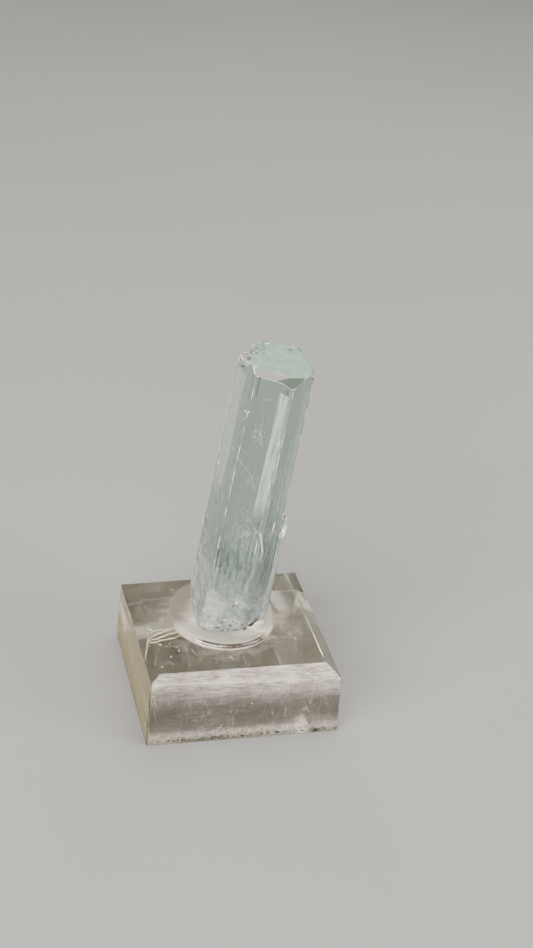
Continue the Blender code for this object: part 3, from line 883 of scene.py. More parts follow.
def healed_cracks():
    middle = np.array([0.985, 0.985, 1.0])
    shapes = []
    for number, (radius, keys) in enumerate(HEALED_CRACKS):
        path = smooth_path(np.array(keys) * (1 - CRACK_DEPTH / 5.3 * np.array([1, 1, 0])), 40)
        path = path + 0.02 * np.stack([waves(path, 0.7, 60 + number), waves(path, 0.9, 80 + number), 0 * path[:, 0]], axis=-1)
        taper = np.sin(np.linspace(0.12, np.pi - 0.12, 40)) ** 0.6
        shapes.append(tube(path, radius * taper * (1 + 0.35 * waves(path, 0.5, 100 + number))))
    centres = np.array([fleck[0] for fleck in FLECKS_AND_GLINTS]) * middle
    axes = np.tile([[0.05, 0.0, 1.0]], (len(FLECKS_AND_GLINTS), 1))
    lengths = np.array([fleck[1] for fleck in FLECKS_AND_GLINTS])
    widths = np.array([fleck[2] for fleck in FLECKS_AND_GLINTS])
    shapes.append(octahedra(centres, axes, lengths, widths, 0.4))
    return joined(shapes)


# Middle of each patch of feathers on the front as (x, z), its half sizes, number of threads and their length.
FEATHERS = (
    ((-0.10, 38.2), (0.80, 1.90), 16, 1.3),
    ((0.30, 29.6), (0.90, 1.90), 14, 1.0),
    ((0.20, 24.5), (1.20, 1.60), 14, 1.0),
    ((1.20, 20.3), (2.20, 2.80), 60, 1.2),
    ((1.60, 15.6), (2.00, 3.00), 36, 1.5),
    ((2.10, 6.60), (1.60, 0.90), 18, 0.8),
)
STAR = (1.15, 21.3)


def feathers():
    """Curly threads on old fissures that are nearly parallel to the front, and a star of straight ones."""
    rng = np.random.default_rng(90)
    shapes = []
    for (x, z), (half_x, half_z), count, length in FEATHERS:
        for _ in range(count):
            start = rng.normal(0, 0.55, 2) * (half_x, half_z) + (x, z)
            heading = rng.uniform(0, 2 * np.pi) + np.cumsum(rng.normal(0, 0.55, 9))
            step = length * rng.uniform(0.3, 1.0) / 9
            spot = start + np.cumsum(step * np.stack([0.7 * np.cos(heading), 1.2 * np.sin(heading)], axis=-1), axis=0)
            depth = rng.uniform(0.05, 0.7)
            path = smooth_path(np.stack([spot[:, 0], np.full(9, -5.29 + depth), spot[:, 1]], axis=-1), 18)
            taper = np.sin(np.linspace(0.2, np.pi - 0.2, 18))
            shapes.append(tube(path, rng.uniform(0.016, 0.040) * taper, 4))
    for turn in rng.uniform(0, 2 * np.pi, 30):
        share = np.linspace(-0.5, 0.5, 10)[:, None]
        bend = turn + rng.uniform(-1.6, 1.6) * share
        middle = np.array(STAR) + rng.normal(size=2) * np.array([0.42, 0.95])
        spot = middle + share * rng.uniform(0.6, 1.3) * np.concatenate([np.cos(bend), np.sin(bend)], axis=1)
        path = np.stack([spot[:, 0], np.full(10, -5.22), spot[:, 1]], axis=-1)
        shapes.append(tube(path, rng.uniform(0.014, 0.030) * (1.1 - 2 * np.abs(share[:, 0])), 4))
    return joined(shapes)


crack_shapes = joined([healed_cracks(), feathers()])
print("healed cracks:", len(HEALED_CRACKS), "flecks:", len(FLECKS_AND_GLINTS), "feathers:", sum(patch[2] for patch in FEATHERS))

# %% [markdown]
# ## The etched skin
#
# The end of the prism and its long growth strips are etched by nature: tiny pits scatter the light, and they look
# like ground glass. A rough surface alone would still show the dark depth of the stone. So a pale film, a few
# hundredths of a millimetre thick, lies on those faces. It is closed, like every piece, and its material fades it
# out where the stone is broken and clear. The foot, milky from crowded growth tubes and rough where it was broken
# off, wears a sleeve of the same kind. The sleeve lies a little further out, so no two films share one surface.

# %% Thin films on the etched faces and the foot
SKIN_OUT, SKIN_IN = -0.022, -0.008  # depths in millimetres; below zero lies just outside the surface
FIRST_WALL, FIRST_END = FOOT_ROWS - 1, FOOT_ROWS - 1 + SIDE_ROWS
# Side, first and last distance across it, lowest and highest point, and how white the strip is.
ETCHED_STRIPS = (
    (1, 1.62, 3.50, 23.4, 46.6, 0.55),
    (0, -3.60, 0.10, 23.6, 46.2, 0.46),
    (2, -1.20, 0.60, 23.6, 45.6, 0.16),
    (3, 0.40, 2.60, 23.6, 46.2, 0.26),
)


def outward_normals(rings):
    """Unit normals of a stack of rings: the step round the ring crossed with the step to the next ring."""
    around_ring = np.roll(rings, -1, axis=1) - np.roll(rings, 1, axis=1)
    return unit(np.cross(around_ring, np.gradient(rings, axis=0)))


crystal_normals = outward_normals(crystal_local)


def under_skin(depth):
    """The crystal's rings sunk by this depth along their normals."""
    return crystal_local - depth * crystal_normals


def etched_end():
    """A film over the whole end, rim included: out from the middle close to the surface, and back above it."""
    rows = slice(FIRST_END - 1, None)
    end = crystal_local[rows]
    broken = smooth_step(0.02, 0.10, whole_top(end[..., :2]) - end[..., 2])
    level = smooth_step(0.18, 0.42, crystal_normals[rows, :, 2])
    rings = np.concatenate([under_skin(SKIN_IN)[rows][::-1], under_skin(SKIN_OUT)[rows]])
    cover = (1.0 - 0.30 * broken) * level
    amount = np.concatenate([cover[::-1].reshape(-1), cover.reshape(-1), cover[-1:, 0], cover[-1:, 0]])
    return (skin_points(rings), *skin_faces(*rings.shape[:2])), amount


def etched_patch(rows, columns, cover):
    """A film on part of the sides: each ring runs across a little way out and comes back close to the surface."""
    pick = np.ix_(rows, columns)
    rings = np.concatenate([under_skin(SKIN_OUT)[pick], under_skin(SKIN_IN)[pick][:, ::-1]], axis=1)
    amount = np.concatenate([cover[pick], cover[pick][:, ::-1]], axis=1)
    return (skin_points(rings), *skin_faces(*rings.shape[:2])), np.append(amount.reshape(-1), [0.0, 0.0])


def etched_strip(side, first, last, low, high, white):
    """The patch between two distances across a side and two heights, with soft borders."""
    across = crystal_local[..., :2] @ flat(SIDES[side, 0] + 90)
    height = crystal_local[..., 2]
    cover = smooth_step(first, first + 0.14, across) * smooth_step(last, last - 0.10, across)
    cover = white * cover * smooth_step(low, low + 4.0, height) * smooth_step(high, high - 0.3, height)
    middle = FIRST_WALL + SIDE_ROWS // 2
    column_side, _ = column_plan()
    columns = np.flatnonzero((column_side == side) & (across[middle] > first - 0.1) & (across[middle] < last + 0.1))
    rows = np.flatnonzero((height[:, columns[0]] > low - 0.3) & (height[:, columns[0]] < high + 0.2))
    return etched_patch(rows[rows < FIRST_END], columns, cover)


def etched_growth():
    """The side growth's faces; the cover is strongest on its up-facing slanting end, as painted light. They are where
    the skin leaves the prism's planes.
    """
    outside = soft_planes(crystal_local)[0]
    height = crystal_local[..., 2]
    cover = smooth_step(0.06, 0.20, outside) * (0.50 + 0.50 * smooth_step(18.0, 18.8, height))
    grown = (outside > 0.05) & (height > 2.0) & (height < 22.0) & (crystal_local[..., 0] > 4.0)
    grown[:FIRST_WALL + 2] = grown[FIRST_END:] = False
    rows, columns = np.flatnonzero(grown.any(axis=1)), np.flatnonzero(grown.any(axis=0))
    return etched_patch(np.arange(rows[0], rows[-1] + 1), np.arange(columns[0], columns[-1] + 1), cover)


def chalky_foot():
    """A sleeve round the foot, its cover falling off upwards and reaching higher on the left."""
    height = crystal_local[..., 2] - 4.5 * smooth_step(-1.0, -4.5, crystal_local[..., 0])
    cover = smooth_step(19.0, 0.0, height)
    rows = slice(6, FIRST_WALL + 112)
    inner, outer = under_skin(1.4 * SKIN_OUT)[rows], under_skin(1.9 * SKIN_OUT)[rows]
    cover[rows.stop - 4:rows.stop] = 0.0
    rings = np.concatenate([outer, inner[::-1]])
    amount = np.concatenate([cover[rows], cover[rows][::-1]])
    quads, _ = skin_faces(*rings.shape[:2])
    last = (len(rings) - 1) * COLUMNS
    here = np.arange(COLUMNS)
    after = (here + 1) % COLUMNS
    closing = np.stack([last + here, last + after, after, here], axis=-1)
    none = np.zeros((0, 3), int)
    return (rings.reshape(-1, 3), np.concatenate([quads, closing]), none), amount.reshape(-1)


etched = [etched_end()] + [etched_strip(*strip) for strip in ETCHED_STRIPS] + [etched_growth()]
etched_shapes = joined([shape for shape, _ in etched])
etched_amount = np.concatenate([amount for _, amount in etched])
foot_shape, foot_cover = chalky_foot()
print("etched skin:", len(etched_amount), "points, chalky foot:", len(foot_cover), "points")


# %% [markdown]
# ## Worn edges and chips, with painted glints and shade
#
# The prism's long edges have been knocked a little for years. Each carries a fine broken line of white, a tube along
# the edge whose radius comes and goes: partly the white of tiny chips, partly a painted highlight along the edge. Small
# bright splinters lie round the broken corner of the end, and are partly painted glints. The foot has hollows and gaps,
# where the break and the glue left them, painted near-black as shade, and white nicks that are partly painted glints.
# Both are short crooked tubes, almost sunk into the stone, so that only a flat patch of each one shows.

# %% Worn edges and chips, with painted glints and shade


# White tubes along the prism's edges and the top rim: partly chipped edges, partly painted highlights along them.
def worn_edges_and_highlights():
    column_side, _ = column_plan()
    shapes = []
    for side in range(len(SIDES)):
        path = under_skin(0.008)[FIRST_WALL + 18:FIRST_END - 2, np.argmax(column_side == side)]
        chips = np.clip(0.25 + 0.8 * waves(path * np.array([1, 1, 0.35]), 1.0, 300 + side), 0.0, 1.0)
        shapes.append(tube(path, 0.008 + 0.034 * chips, 5))
    rim_path = crystal_local[FIRST_END - 1, :-1] - np.array([0.0, 0.0, 0.01])
    chips = np.clip(0.35 + 0.8 * waves(rim_path, 1.2, 320), 0.0, 1.0)
    shapes.append(tube(rim_path, 0.010 + 0.050 * chips, 5))
    return joined(shapes)


def splinters_and_glints():
    """Small flat white octahedra in the broken parts of the end: partly splinters, partly painted glints."""
    end = crystal_local[FIRST_END + 1:].reshape(-1, 3)
    gap = whole_top(end[..., :2]) - end[..., 2]
    broken = end[(gap > 0.10) & (end[:, 0] < -1.5)]
    rng = np.random.default_rng(310)
    chosen = broken[rng.integers(0, len(broken), 34)] + np.array([0.0, 0.0, 0.02])
    size = rng.uniform(0.25, 1.0, len(chosen)) ** 2 * 0.95
    return octahedra(chosen, rng.normal(size=chosen.shape) * np.array([1, 1, 0.2]), size, 0.30 * size)


# Middle, length, radius and lean of each hollow in the foot, where the break or the glue left a gap, painted near-black
# as shade.
SHADED_HOLLOWS = (
    ((5.10, -3.20, 1.95), 1.50, 0.20, 1.25), ((5.75, -2.35, 2.25), 0.80, 0.15, 1.2), ((4.05, -4.25, 1.45), 0.65, 0.15, 0.9),
    ((2.42, -5.35, 3.05), 0.45, 0.11, 0.3), ((2.08, -5.30, 2.20), 0.55, 0.13, 0.9), ((2.98, -5.30, 2.85), 0.35, 0.10, 0.2),
    ((1.30, -5.35, 3.35), 0.30, 0.09, 0.6), ((1.89, -5.52, 6.05), 0.45, 0.11, 0.4), ((6.20, -1.38, 3.55), 0.50, 0.09, 0.2),
    ((0.60, -5.30, 2.40), 0.70, 0.06, 1.4), ((-1.93, -4.95, -0.15), 0.80, 0.08, 1.2), ((1.60, -5.05, 0.75), 1.70, 0.06, 1.4),
    ((3.10, -4.95, 1.35), 1.20, 0.08, 1.3), ((0.10, -5.30, 1.00), 1.00, 0.06, 1.4), ((6.60, -1.15, 4.55), 0.35, 0.07, 0.2),
    ((-0.90, -5.60, 1.90), 0.45, 0.07, 0.5), ((3.60, -5.10, 2.60), 0.50, 0.09, 0.7), ((0.10, -5.60, 3.00), 0.35, 0.06, 1.1),
    ((1.06, 4.70, 48.30), 0.60, 0.16, 1.4), ((4.70, -3.90, 3.40), 0.40, 0.07, 0.3), ((2.60, -5.50, 4.60), 0.40, 0.06, 1.0),
)
# Gaps in the corner between the stone and the glue at the right, painted near-black as shade.
SHADED_GAPS = (
    ((5.14, -3.20, 1.70), 1.20, 0.09, 1.25), ((5.65, -2.35, 2.00), 0.75, 0.07, 1.2), ((4.25, -4.15, 1.20), 0.60, 0.08, 1.0),
)
# White nicks on the foot and a few marks higher up: partly chipped spots, partly painted glints.
WHITE_NICKS_AND_GLINTS = (
    ((2.25, -5.6, 6.77), 0.50, 0.07, 0.9), ((1.10, -5.6, 2.92), 0.60, 0.08, 1.2), ((5.12, -3.02, 21.13), 1.50, 0.10, 0.15),
    ((-5.86, 0.03, 28.37), 0.70, 0.07, 0.1), ((-2.70, -4.95, 41.64), 0.80, 0.035, 0.3), ((-2.77, -4.85, 40.19), 0.50, 0.035, 0.7),
    ((0.20, -5.6, 1.60), 0.40, 0.06, 0.7), ((3.40, -5.0, 1.70), 0.55, 0.07, 1.1), ((-0.90, -5.5, 1.10), 0.50, 0.05, 1.3),
    ((4.60, -3.70, 2.30), 0.45, 0.06, 0.8), ((2.70, -5.3, 1.30), 0.60, 0.06, 1.3), ((5.60, -2.40, 0.90), 0.70, 0.07, 1.2),
)


def surface_marks(marks, rise, seed):
    """Short crooked tubes that break through the skin by this much. Lean 0 is upright and 1.5 is level."""
    skin, normals = crystal_local.reshape(-1, 3), crystal_normals.reshape(-1, 3)
    share = np.linspace(-0.5, 0.5, 9)[:, None]
    shapes = []
    for number, (middle, length, radius, lean) in enumerate(marks):
        nearest = np.argmin(np.linalg.norm(skin - np.array(middle), axis=1))
        outward = normals[nearest]
        level = unit(np.cross([0.0, 0.0, 1.0], outward))
        along = level * np.sin(lean) + np.cross(outward, level) * np.cos(lean)
        path = skin[nearest] + share * length * along
        crook = 0.07 * length * waves(path, 0.5 * length, seed + number)[:, None] * np.cross(outward, along)
        swell = 1.5 * radius * np.sqrt(np.clip(1.05 - 4 * share[:, 0] ** 2, 0.02, 1.0))
        swell = swell * (1 + 0.35 * waves(path, 0.3, seed + 50 + number))
        shapes.append(tube(path + crook + (rise - swell)[:, None] * outward, swell, 6))
    return joined(shapes)


hollow_shade_shapes = joined([surface_marks(SHADED_HOLLOWS, 0.100, 400), surface_marks(SHADED_GAPS, 0.30, 430)])
wear_and_glint_shapes = joined([worn_edges_and_highlights(), splinters_and_glints(), surface_marks(WHITE_NICKS_AND_GLINTS, 0.060, 500)])
print("worn edges and splinters:", len(wear_and_glint_shapes[0]), "points")

# %% [markdown]
# ## Strings of glue, dust and bubbles
#
# A glue gun leaves fine strings. Here four of them lie side by side on the block to the left of the puddle, a fifth
# trails over the edge, and drops and dust stick to the plastic. They are tubes and small octahedra, sunk a little
# into what they lie on. Inside the clear left part of the puddle hang round bubbles.

# %% Strings, dust and bubbles
# Points on the block's top as (x, y); the last number is the string's radius.
STRINGS = (
    (((-9.74, -1.12), (-10.6, -1.22), (-11.8, -1.33), (-12.8, -1.60), (-13.6, -1.98), (-14.2, -2.70)), 0.11),
    (((-9.30, -1.15), (-10.5, -1.60), (-11.5, -2.00), (-12.5, -2.50), (-13.4, -3.15), (-14.3, -3.85)), 0.17),
    (((-9.20, -2.40), (-10.3, -2.65), (-11.1, -3.02), (-11.9, -3.42), (-12.8, -3.80), (-13.6, -3.95)), 0.17),
    (((-8.70, -3.30), (-9.90, -3.88), (-10.7, -4.10), (-11.5, -4.28), (-12.3, -4.38), (-12.9, -4.66),
      (-13.9, -4.84)), 0.16),
    (((-13.6, -3.95), (-14.1, -4.15), (-14.0, -4.60), (-13.7, -4.82)), 0.13),
    (((-13.1, -1.25), (-13.5, -1.00), (-13.9, -0.85)), 0.15),
)
TRAIL = ((-14.2, -3.85, 12.1), (-14.5, -4.90, 12.1), (-14.8, -6.40, 12.05), (-15.2, -7.60, 11.85), (-15.55, -9.00, 11.9))
DROPS = ((-12.43, -5.47, 0.34), (-10.94, -5.40, 0.22), (-9.95, -6.48, 0.20), (-9.71, -7.47, 0.34),
         (-11.29, -8.88, 0.30), (-13.22, -11.56, 0.24), (-14.29, -5.58, 0.22), (-11.63, -6.05, 0.20))
# Deep white scratches on the front wall, and their radius.
SCRATCH_MARKS = (
    (((-2.76, -15.95, 2.13), (-1.70, -15.96, 1.15), (-0.72, -15.99, 0.22)), 0.035),
    (((-2.00, -15.95, 1.80), (-1.60, -15.96, 0.90), (-1.24, -15.98, 0.28)), 0.030),
    (((0.55, -15.84, 7.05), (0.95, -15.84, 6.85), (1.15, -15.84, 6.60)), 0.030),
)
# Middle, spread and number of each patch of dust: on the top, then on the front low down.
DUST = (
    ((6.0, -5.6, 12.1), (1.5, 1.3, 0.0), 90),
    ((12.0, -2.0, 12.1), (1.3, 5.0, 0.0), 90),
    ((-4.0, -9.5, 12.1), (5.0, 2.6, 0.0), 60),
    ((-10.0, 4.0, 12.1), (2.5, 5.0, 0.0), 40),
    ((0.0, -15.95, 1.3), (9.0, 0.0, 0.8), 230),
    ((2.0, -15.74, 9.6), (6.0, 0.0, 0.7), 50),
)


def glue_strings():
    shapes = []
    for number, (spots, radius) in enumerate(STRINGS):
        keys = np.array([(x, y, BLOCK_TOP + 0.45 * radius) for x, y in spots])
        path = smooth_path(keys, 60)
        wander = np.stack([waves(path, 1.1, 140 + number), waves(path, 0.9, 150 + number), 0 * path[:, 0]], axis=-1)
        taper = np.sin(np.linspace(0.25, np.pi - 0.25, 60)) ** 0.4
        shapes.append(tube(path + 0.05 * wander, 0.50 * radius * taper * (1 + 0.22 * waves(path, 0.8, 160 + number)), 8))
    for scratch, radius in SCRATCH_MARKS:
        points, quads, triangles = tube(smooth_path(scratch, 16), radius * np.sin(np.linspace(0.3, np.pi - 0.3, 16)), 4)
        shapes.append((np.maximum(points, (-16.0, -15.995, 0.02)), quads, triangles))
    path = smooth_path(TRAIL, 70)
    shapes.append(tube(path, 0.10 * (1 + 0.3 * waves(path, 1.0, 170)) * np.linspace(1.1, 0.6, 70), 8))
    drops = np.array(DROPS)
    centres = np.stack([drops[:, 0], drops[:, 1], np.full(len(drops), BLOCK_TOP + 0.05)], axis=-1)
    axes = np.tile([[0.3, 1.0, 0.1]], (len(drops), 1))
    shapes.append(octahedra(centres, axes, drops[:, 2] * 1.2, drops[:, 2], 0.5))
    return joined(shapes)


def block_dust():
    shapes = []
    for number, (middle, spread, count) in enumerate(DUST):
        rng = np.random.default_rng(200 + number)
        spots = np.array(middle) + rng.normal(size=(count, 3)) * np.array(spread) * 0.6
        spots = np.clip(spots, (-15.6, -16.0, 0.15), (15.6, 15.6, BLOCK_TOP))
        keep = np.linalg.norm(spots[:, :2] - COLLAR_CENTRE, axis=1) > 8.6
        spots = spots[keep | (spots[:, 1] < -15)]
        size = 0.10 * rng.uniform(0.4, 1.5, len(spots)) ** 1.5
        shapes.append(octahedra(spots, rng.normal(size=spots.shape), size * 1.5, size))
    points, quads, triangles = joined(shapes)
    return np.maximum(points, (-16.0, -15.99, 0.02)), quads, triangles


def glue_bubbles():
    """Bubbles in the ring of glue: each is given by heading, share of the way in from the rim, and height."""
    rng = np.random.default_rng(9)
    heading = np.concatenate([rng.uniform(118, 200, 22), rng.uniform(-120, 40, 10)])
    reach = around(COLLAR_REACH, heading)
    inner = stone_reach(heading, BLOCK_TOP + 0.9, 0.0)
    share = rng.uniform(0.18, 0.80, len(heading))
    distance = reach + (inner - reach) * share
    spots = COLLAR_CENTRE + flat(heading) * distance[:, None]
    height = BLOCK_TOP + rng.uniform(0.25, 0.95, len(heading))
    radii = rng.uniform(0.09, 0.26, len(heading))
    radii = np.minimum(radii, (height - BLOCK_TOP) * 0.7)
    return bubbles(np.concatenate([spots, height[:, None]], axis=-1), radii)


string_shapes, dust_shapes, bubble_shapes = glue_strings(), block_dust(), glue_bubbles()
print("strings, dust and bubbles:", len(string_shapes[0]), len(dust_shapes[0]), len(bubble_shapes[0]), "points")

# %% [markdown]
# ## Building materials in code
#
# A material is a small network of nodes. One helper adds a node, sets its options, and either fills or links each
# of its inputs, so that every network below reads from top to bottom. Effects that several materials share are node
# groups, each built once: a cloudy blend of two colours, fine scratches, and specks.

# %% Node helpers and shared effects


def add(tree, kind, inputs, **options):
    """Adds a node. An input's value may be a number, a colour, or another node's output, which is then linked."""
    node = tree.nodes.new(kind)
    for name, value in options.items():
        setattr(node, name, value)
    for name, value in inputs.items():
        if isinstance(value, bpy.types.NodeSocket):
            tree.links.new(value, node.inputs[name])
        else:
            node.inputs[name].default_value = value
    return node


def mapped(tree, value, low, high, first=0.0, last=1.0):
    """A value moved from one range to another, with its ends held."""
    limits = {"Value": value, "From Min": low, "From Max": high, "To Min": first, "To Max": last}
    return add(tree, "ShaderNodeMapRange", limits).outputs[0]


def maths(tree, operation, first, second=0.0):
    return add(tree, "ShaderNodeMath", {0: first, 1: second}, operation=operation).outputs[0]


def new_group(name, inputs, outputs):
    """An empty node group with named sockets; the dictionaries give each socket's name and its start value."""
    tree = bpy.data.node_groups.new(name, "ShaderNodeTree")
    for label, value in inputs.items():
        kinds = {"Vector": "NodeSocketVector", "Colour": "NodeSocketColor"}
        kind = next((kind for word, kind in kinds.items() if word in label), "NodeSocketFloat")
        socket = tree.interface.new_socket(label, in_out="INPUT", socket_type=kind)
        if value is not None:
            socket.default_value = value
    for label in outputs:
        kind = "NodeSocketColor" if label == "Colour" else "NodeSocketFloat"
        tree.interface.new_socket(label, in_out="OUTPUT", socket_type=kind)
    return tree, tree.nodes.new("NodeGroupInput").outputs, tree.nodes.new("NodeGroupOutput")


def cloudy_blend():
    """Two colours blended by a soft noise with fine detail in it."""
    start = {"Vector": None, "Scale": 1.0, "First Colour": (1, 1, 1, 1), "Second Colour": (0.5, 0.5, 0.5, 1)}
    tree, given, out = new_group("cloudy blend", start, ("Colour", "Mask"))
    noise = add(tree, "ShaderNodeTexNoise", {"Vector": given["Vector"], "Scale": given["Scale"], "Detail": 5.0})
    mask = mapped(tree, noise.outputs["Fac"], 0.32, 0.68)
    mixed = {0: mask, 6: given["First Colour"], 7: given["Second Colour"]}
    blend = add(tree, "ShaderNodeMix", mixed, data_type="RGBA")
    tree.links.new(blend.outputs[2], out.inputs["Colour"])
    tree.links.new(mask, out.inputs["Mask"])
    return tree


def fine_scratches():
    """Thin lines: the places where a long drawn-out noise passes its middle value, in two directions."""
    tree, given, out = new_group("fine scratches", {"Vector": None, "Scale": 1.0, "Width": 0.02}, ("Mask",))
    lines = []
    for turn, stretch in ((0.45, 0.05), (-0.9, 0.08)):
        place = {"Vector": given["Vector"], "Rotation": (0.2, 0.1, turn), "Scale": (1.0, stretch, stretch * 2)}
        spot = add(tree, "ShaderNodeMapping", place)
        noise = add(tree, "ShaderNodeTexNoise", {"Vector": spot.outputs[0], "Scale": given["Scale"], "Detail": 1.0})
        off = maths(tree, "ABSOLUTE", maths(tree, "SUBTRACT", noise.outputs["Fac"], 0.5))
        lines.append(maths(tree, "SUBTRACT", 1.0, maths(tree, "DIVIDE", off, given["Width"])))
    line = maths(tree, "MAXIMUM", maths(tree, "MAXIMUM", *lines), 0.0)
    tree.links.new(line, out.inputs["Mask"])
    return tree


def specks():
    """Round specks: the middles of a cell pattern's cells, kept in only a share of the cells."""
    tree, given, out = new_group("specks", {"Vector": None, "Scale": 1.0, "Size": 0.2, "Share": 0.3}, ("Mask",))
    cells = add(tree, "ShaderNodeTexVoronoi", {"Vector": given["Vector"], "Scale": given["Scale"]})
    near = maths(tree, "LESS_THAN", cells.outputs["Distance"], given["Size"])
    tint = add(tree, "ShaderNodeSeparateColor", {"Color": cells.outputs["Color"]})
    chosen = maths(tree, "LESS_THAN", tint.outputs[0], given["Share"])
    tree.links.new(maths(tree, "MULTIPLY", near, chosen), out.inputs["Mask"])
    return tree


BLEND, SCRATCHES, SPECKS = cloudy_blend(), fine_scratches(), specks()
print("shared effects:", ", ".join(group.name for group in (BLEND, SCRATCHES, SPECKS)))


# %% [markdown]
# ## One start for every material
#
# Every material here starts the same way: a Principled shader whose fixed values are set on its own sockets, and a
# Mapping node that turns Object coordinates into millimetres. For clear solids an absorption node fills the inside:
# its colour is what is left of white light, and its density is per metre, so thick parts look deeper in colour.

# %% Start of a material


def new_material(name, values, absorbed=None):
    """A material and its nodes. The values are the shader's fixed ones; absorbed is a colour and a density."""
    material = bpy.data.materials.new(name)
    material.use_nodes = True
    tree = material.node_tree
    shader = tree.nodes["Principled BSDF"]
    for label, value in values.items():
        shader.inputs[label].default_value = value
    if absorbed:
        colour, density = absorbed
        volume = add(tree, "ShaderNodeVolumeAbsorption", {"Color": (*colour, 1.0), "Density": density})
        tree.links.new(volume.outputs[0], tree.nodes["Material Output"].inputs["Volume"])
    return material, tree, shader


def place_in_mm(tree, centre=(0.0, 0.0, 0.0), turn=(0.0, 0.0, 0.0)):
    """Object coordinates in millimetres, seen from a centre and turned back by an angle."""
    spot = add(tree, "ShaderNodeTexCoord", {}).outputs["Object"]
    place = {"Vector": spot, "Location": tuple(MM * value for value in centre), "Rotation": turn, "Scale": (MM, MM, MM)}
    return add(tree, "ShaderNodeMapping", place, vector_type="TEXTURE").outputs[0]


def group_node(tree, group, inputs):
    node = tree.nodes.new("ShaderNodeGroup")
    node.node_tree = group
    for name, value in inputs.items():
        if isinstance(value, bpy.types.NodeSocket):
            tree.links.new(value, node.inputs[name])
        else:
            node.inputs[name].default_value = value
    return node.outputs


def bump(tree, shader, height, distance, strength=1.0):
    """Tilts the surface by a height that is given in millimetres."""
    normal = add(tree, "ShaderNodeBump", {"Height": height, "Distance": distance * MM, "Strength": strength})
    tree.links.new(normal.outputs[0], shader.inputs["Normal"])


def mark(tree, name):
    return add(tree, "ShaderNodeAttribute", {}, attribute_name=name).outputs["Fac"]


# %% [markdown]
# ## Aquamarine
#
# Beryl bends light by 1.575, and its blue-green comes from a trace of iron spread through the stone, so the colour
# belongs to the volume and not to the surface. The surface carries the rest: lines along the prism, ground-glass
# roughness where it is etched, and pits on the broken foot.

# %% The aquamarine


def make_aquamarine():
    material, tree, shader = new_material(
        "aquamarine", {"IOR": 1.575, "Transmission Weight": 1.0}, ((0.735, 0.795, 0.772), 140.0)
    )
    spot = place_in_mm(tree, FOOT_CENTRE, CRYSTAL_TURN.to_euler())
    frost = mark(tree, "frost")
    tint = group_node(tree, BLEND, {"Vector": spot, "Scale": 0.35, "First Colour": (0.96, 1.0, 0.99, 1.0),
                                    "Second Colour": (0.90, 0.97, 0.96, 1.0)})
    drawn = add(tree, "ShaderNodeMapping", {"Vector": spot, "Scale": (1.0, 1.0, 0.03)}).outputs[0]
    lines = add(tree, "ShaderNodeTexNoise", {"Vector": drawn, "Scale": 3.2, "Detail": 4.0, "Roughness": 0.6})
    pits = add(tree, "ShaderNodeTexNoise", {"Vector": spot, "Scale": 7.0, "Detail": 3.0})
    scratches = group_node(tree, SCRATCHES, {"Vector": spot, "Scale": 2.2, "Width": 0.012})
    grain = maths(tree, "MULTIPLY", pits.outputs["Fac"], maths(tree, "MULTIPLY", frost, 0.030))
    relief = maths(tree, "MULTIPLY_ADD", lines.outputs["Fac"], 0.008)
    tree.links.new(grain, relief.node.inputs[2])
    rough = maths(tree, "MULTIPLY_ADD", frost, 0.42)
    rough.node.inputs[2].default_value = 0.02
    rough = maths(tree, "ADD", rough, maths(tree, "MULTIPLY", scratches["Mask"], 0.15))
    tree.links.new(tint["Colour"], shader.inputs["Base Color"])
    tree.links.new(rough, shader.inputs["Roughness"])
    bump(tree, shader, relief, 1.0)
    return material


def make_inclusion(name, first, second, roughness):
    """Flaws inside the stone, strings and dust, mostly pale, and the near-black painted shade in hollows: matt, and a
    little uneven.
    """
    material, tree, shader = new_material(name, {"IOR": 1.33, "Roughness": roughness})
    spot = place_in_mm(tree)
    tint = group_node(tree, BLEND, {"Vector": spot, "Scale": 0.8, "First Colour": first, "Second Colour": second})
    tree.links.new(tint["Colour"], shader.inputs["Base Color"])
    bump(tree, shader, tint["Mask"], 0.03)
    return material


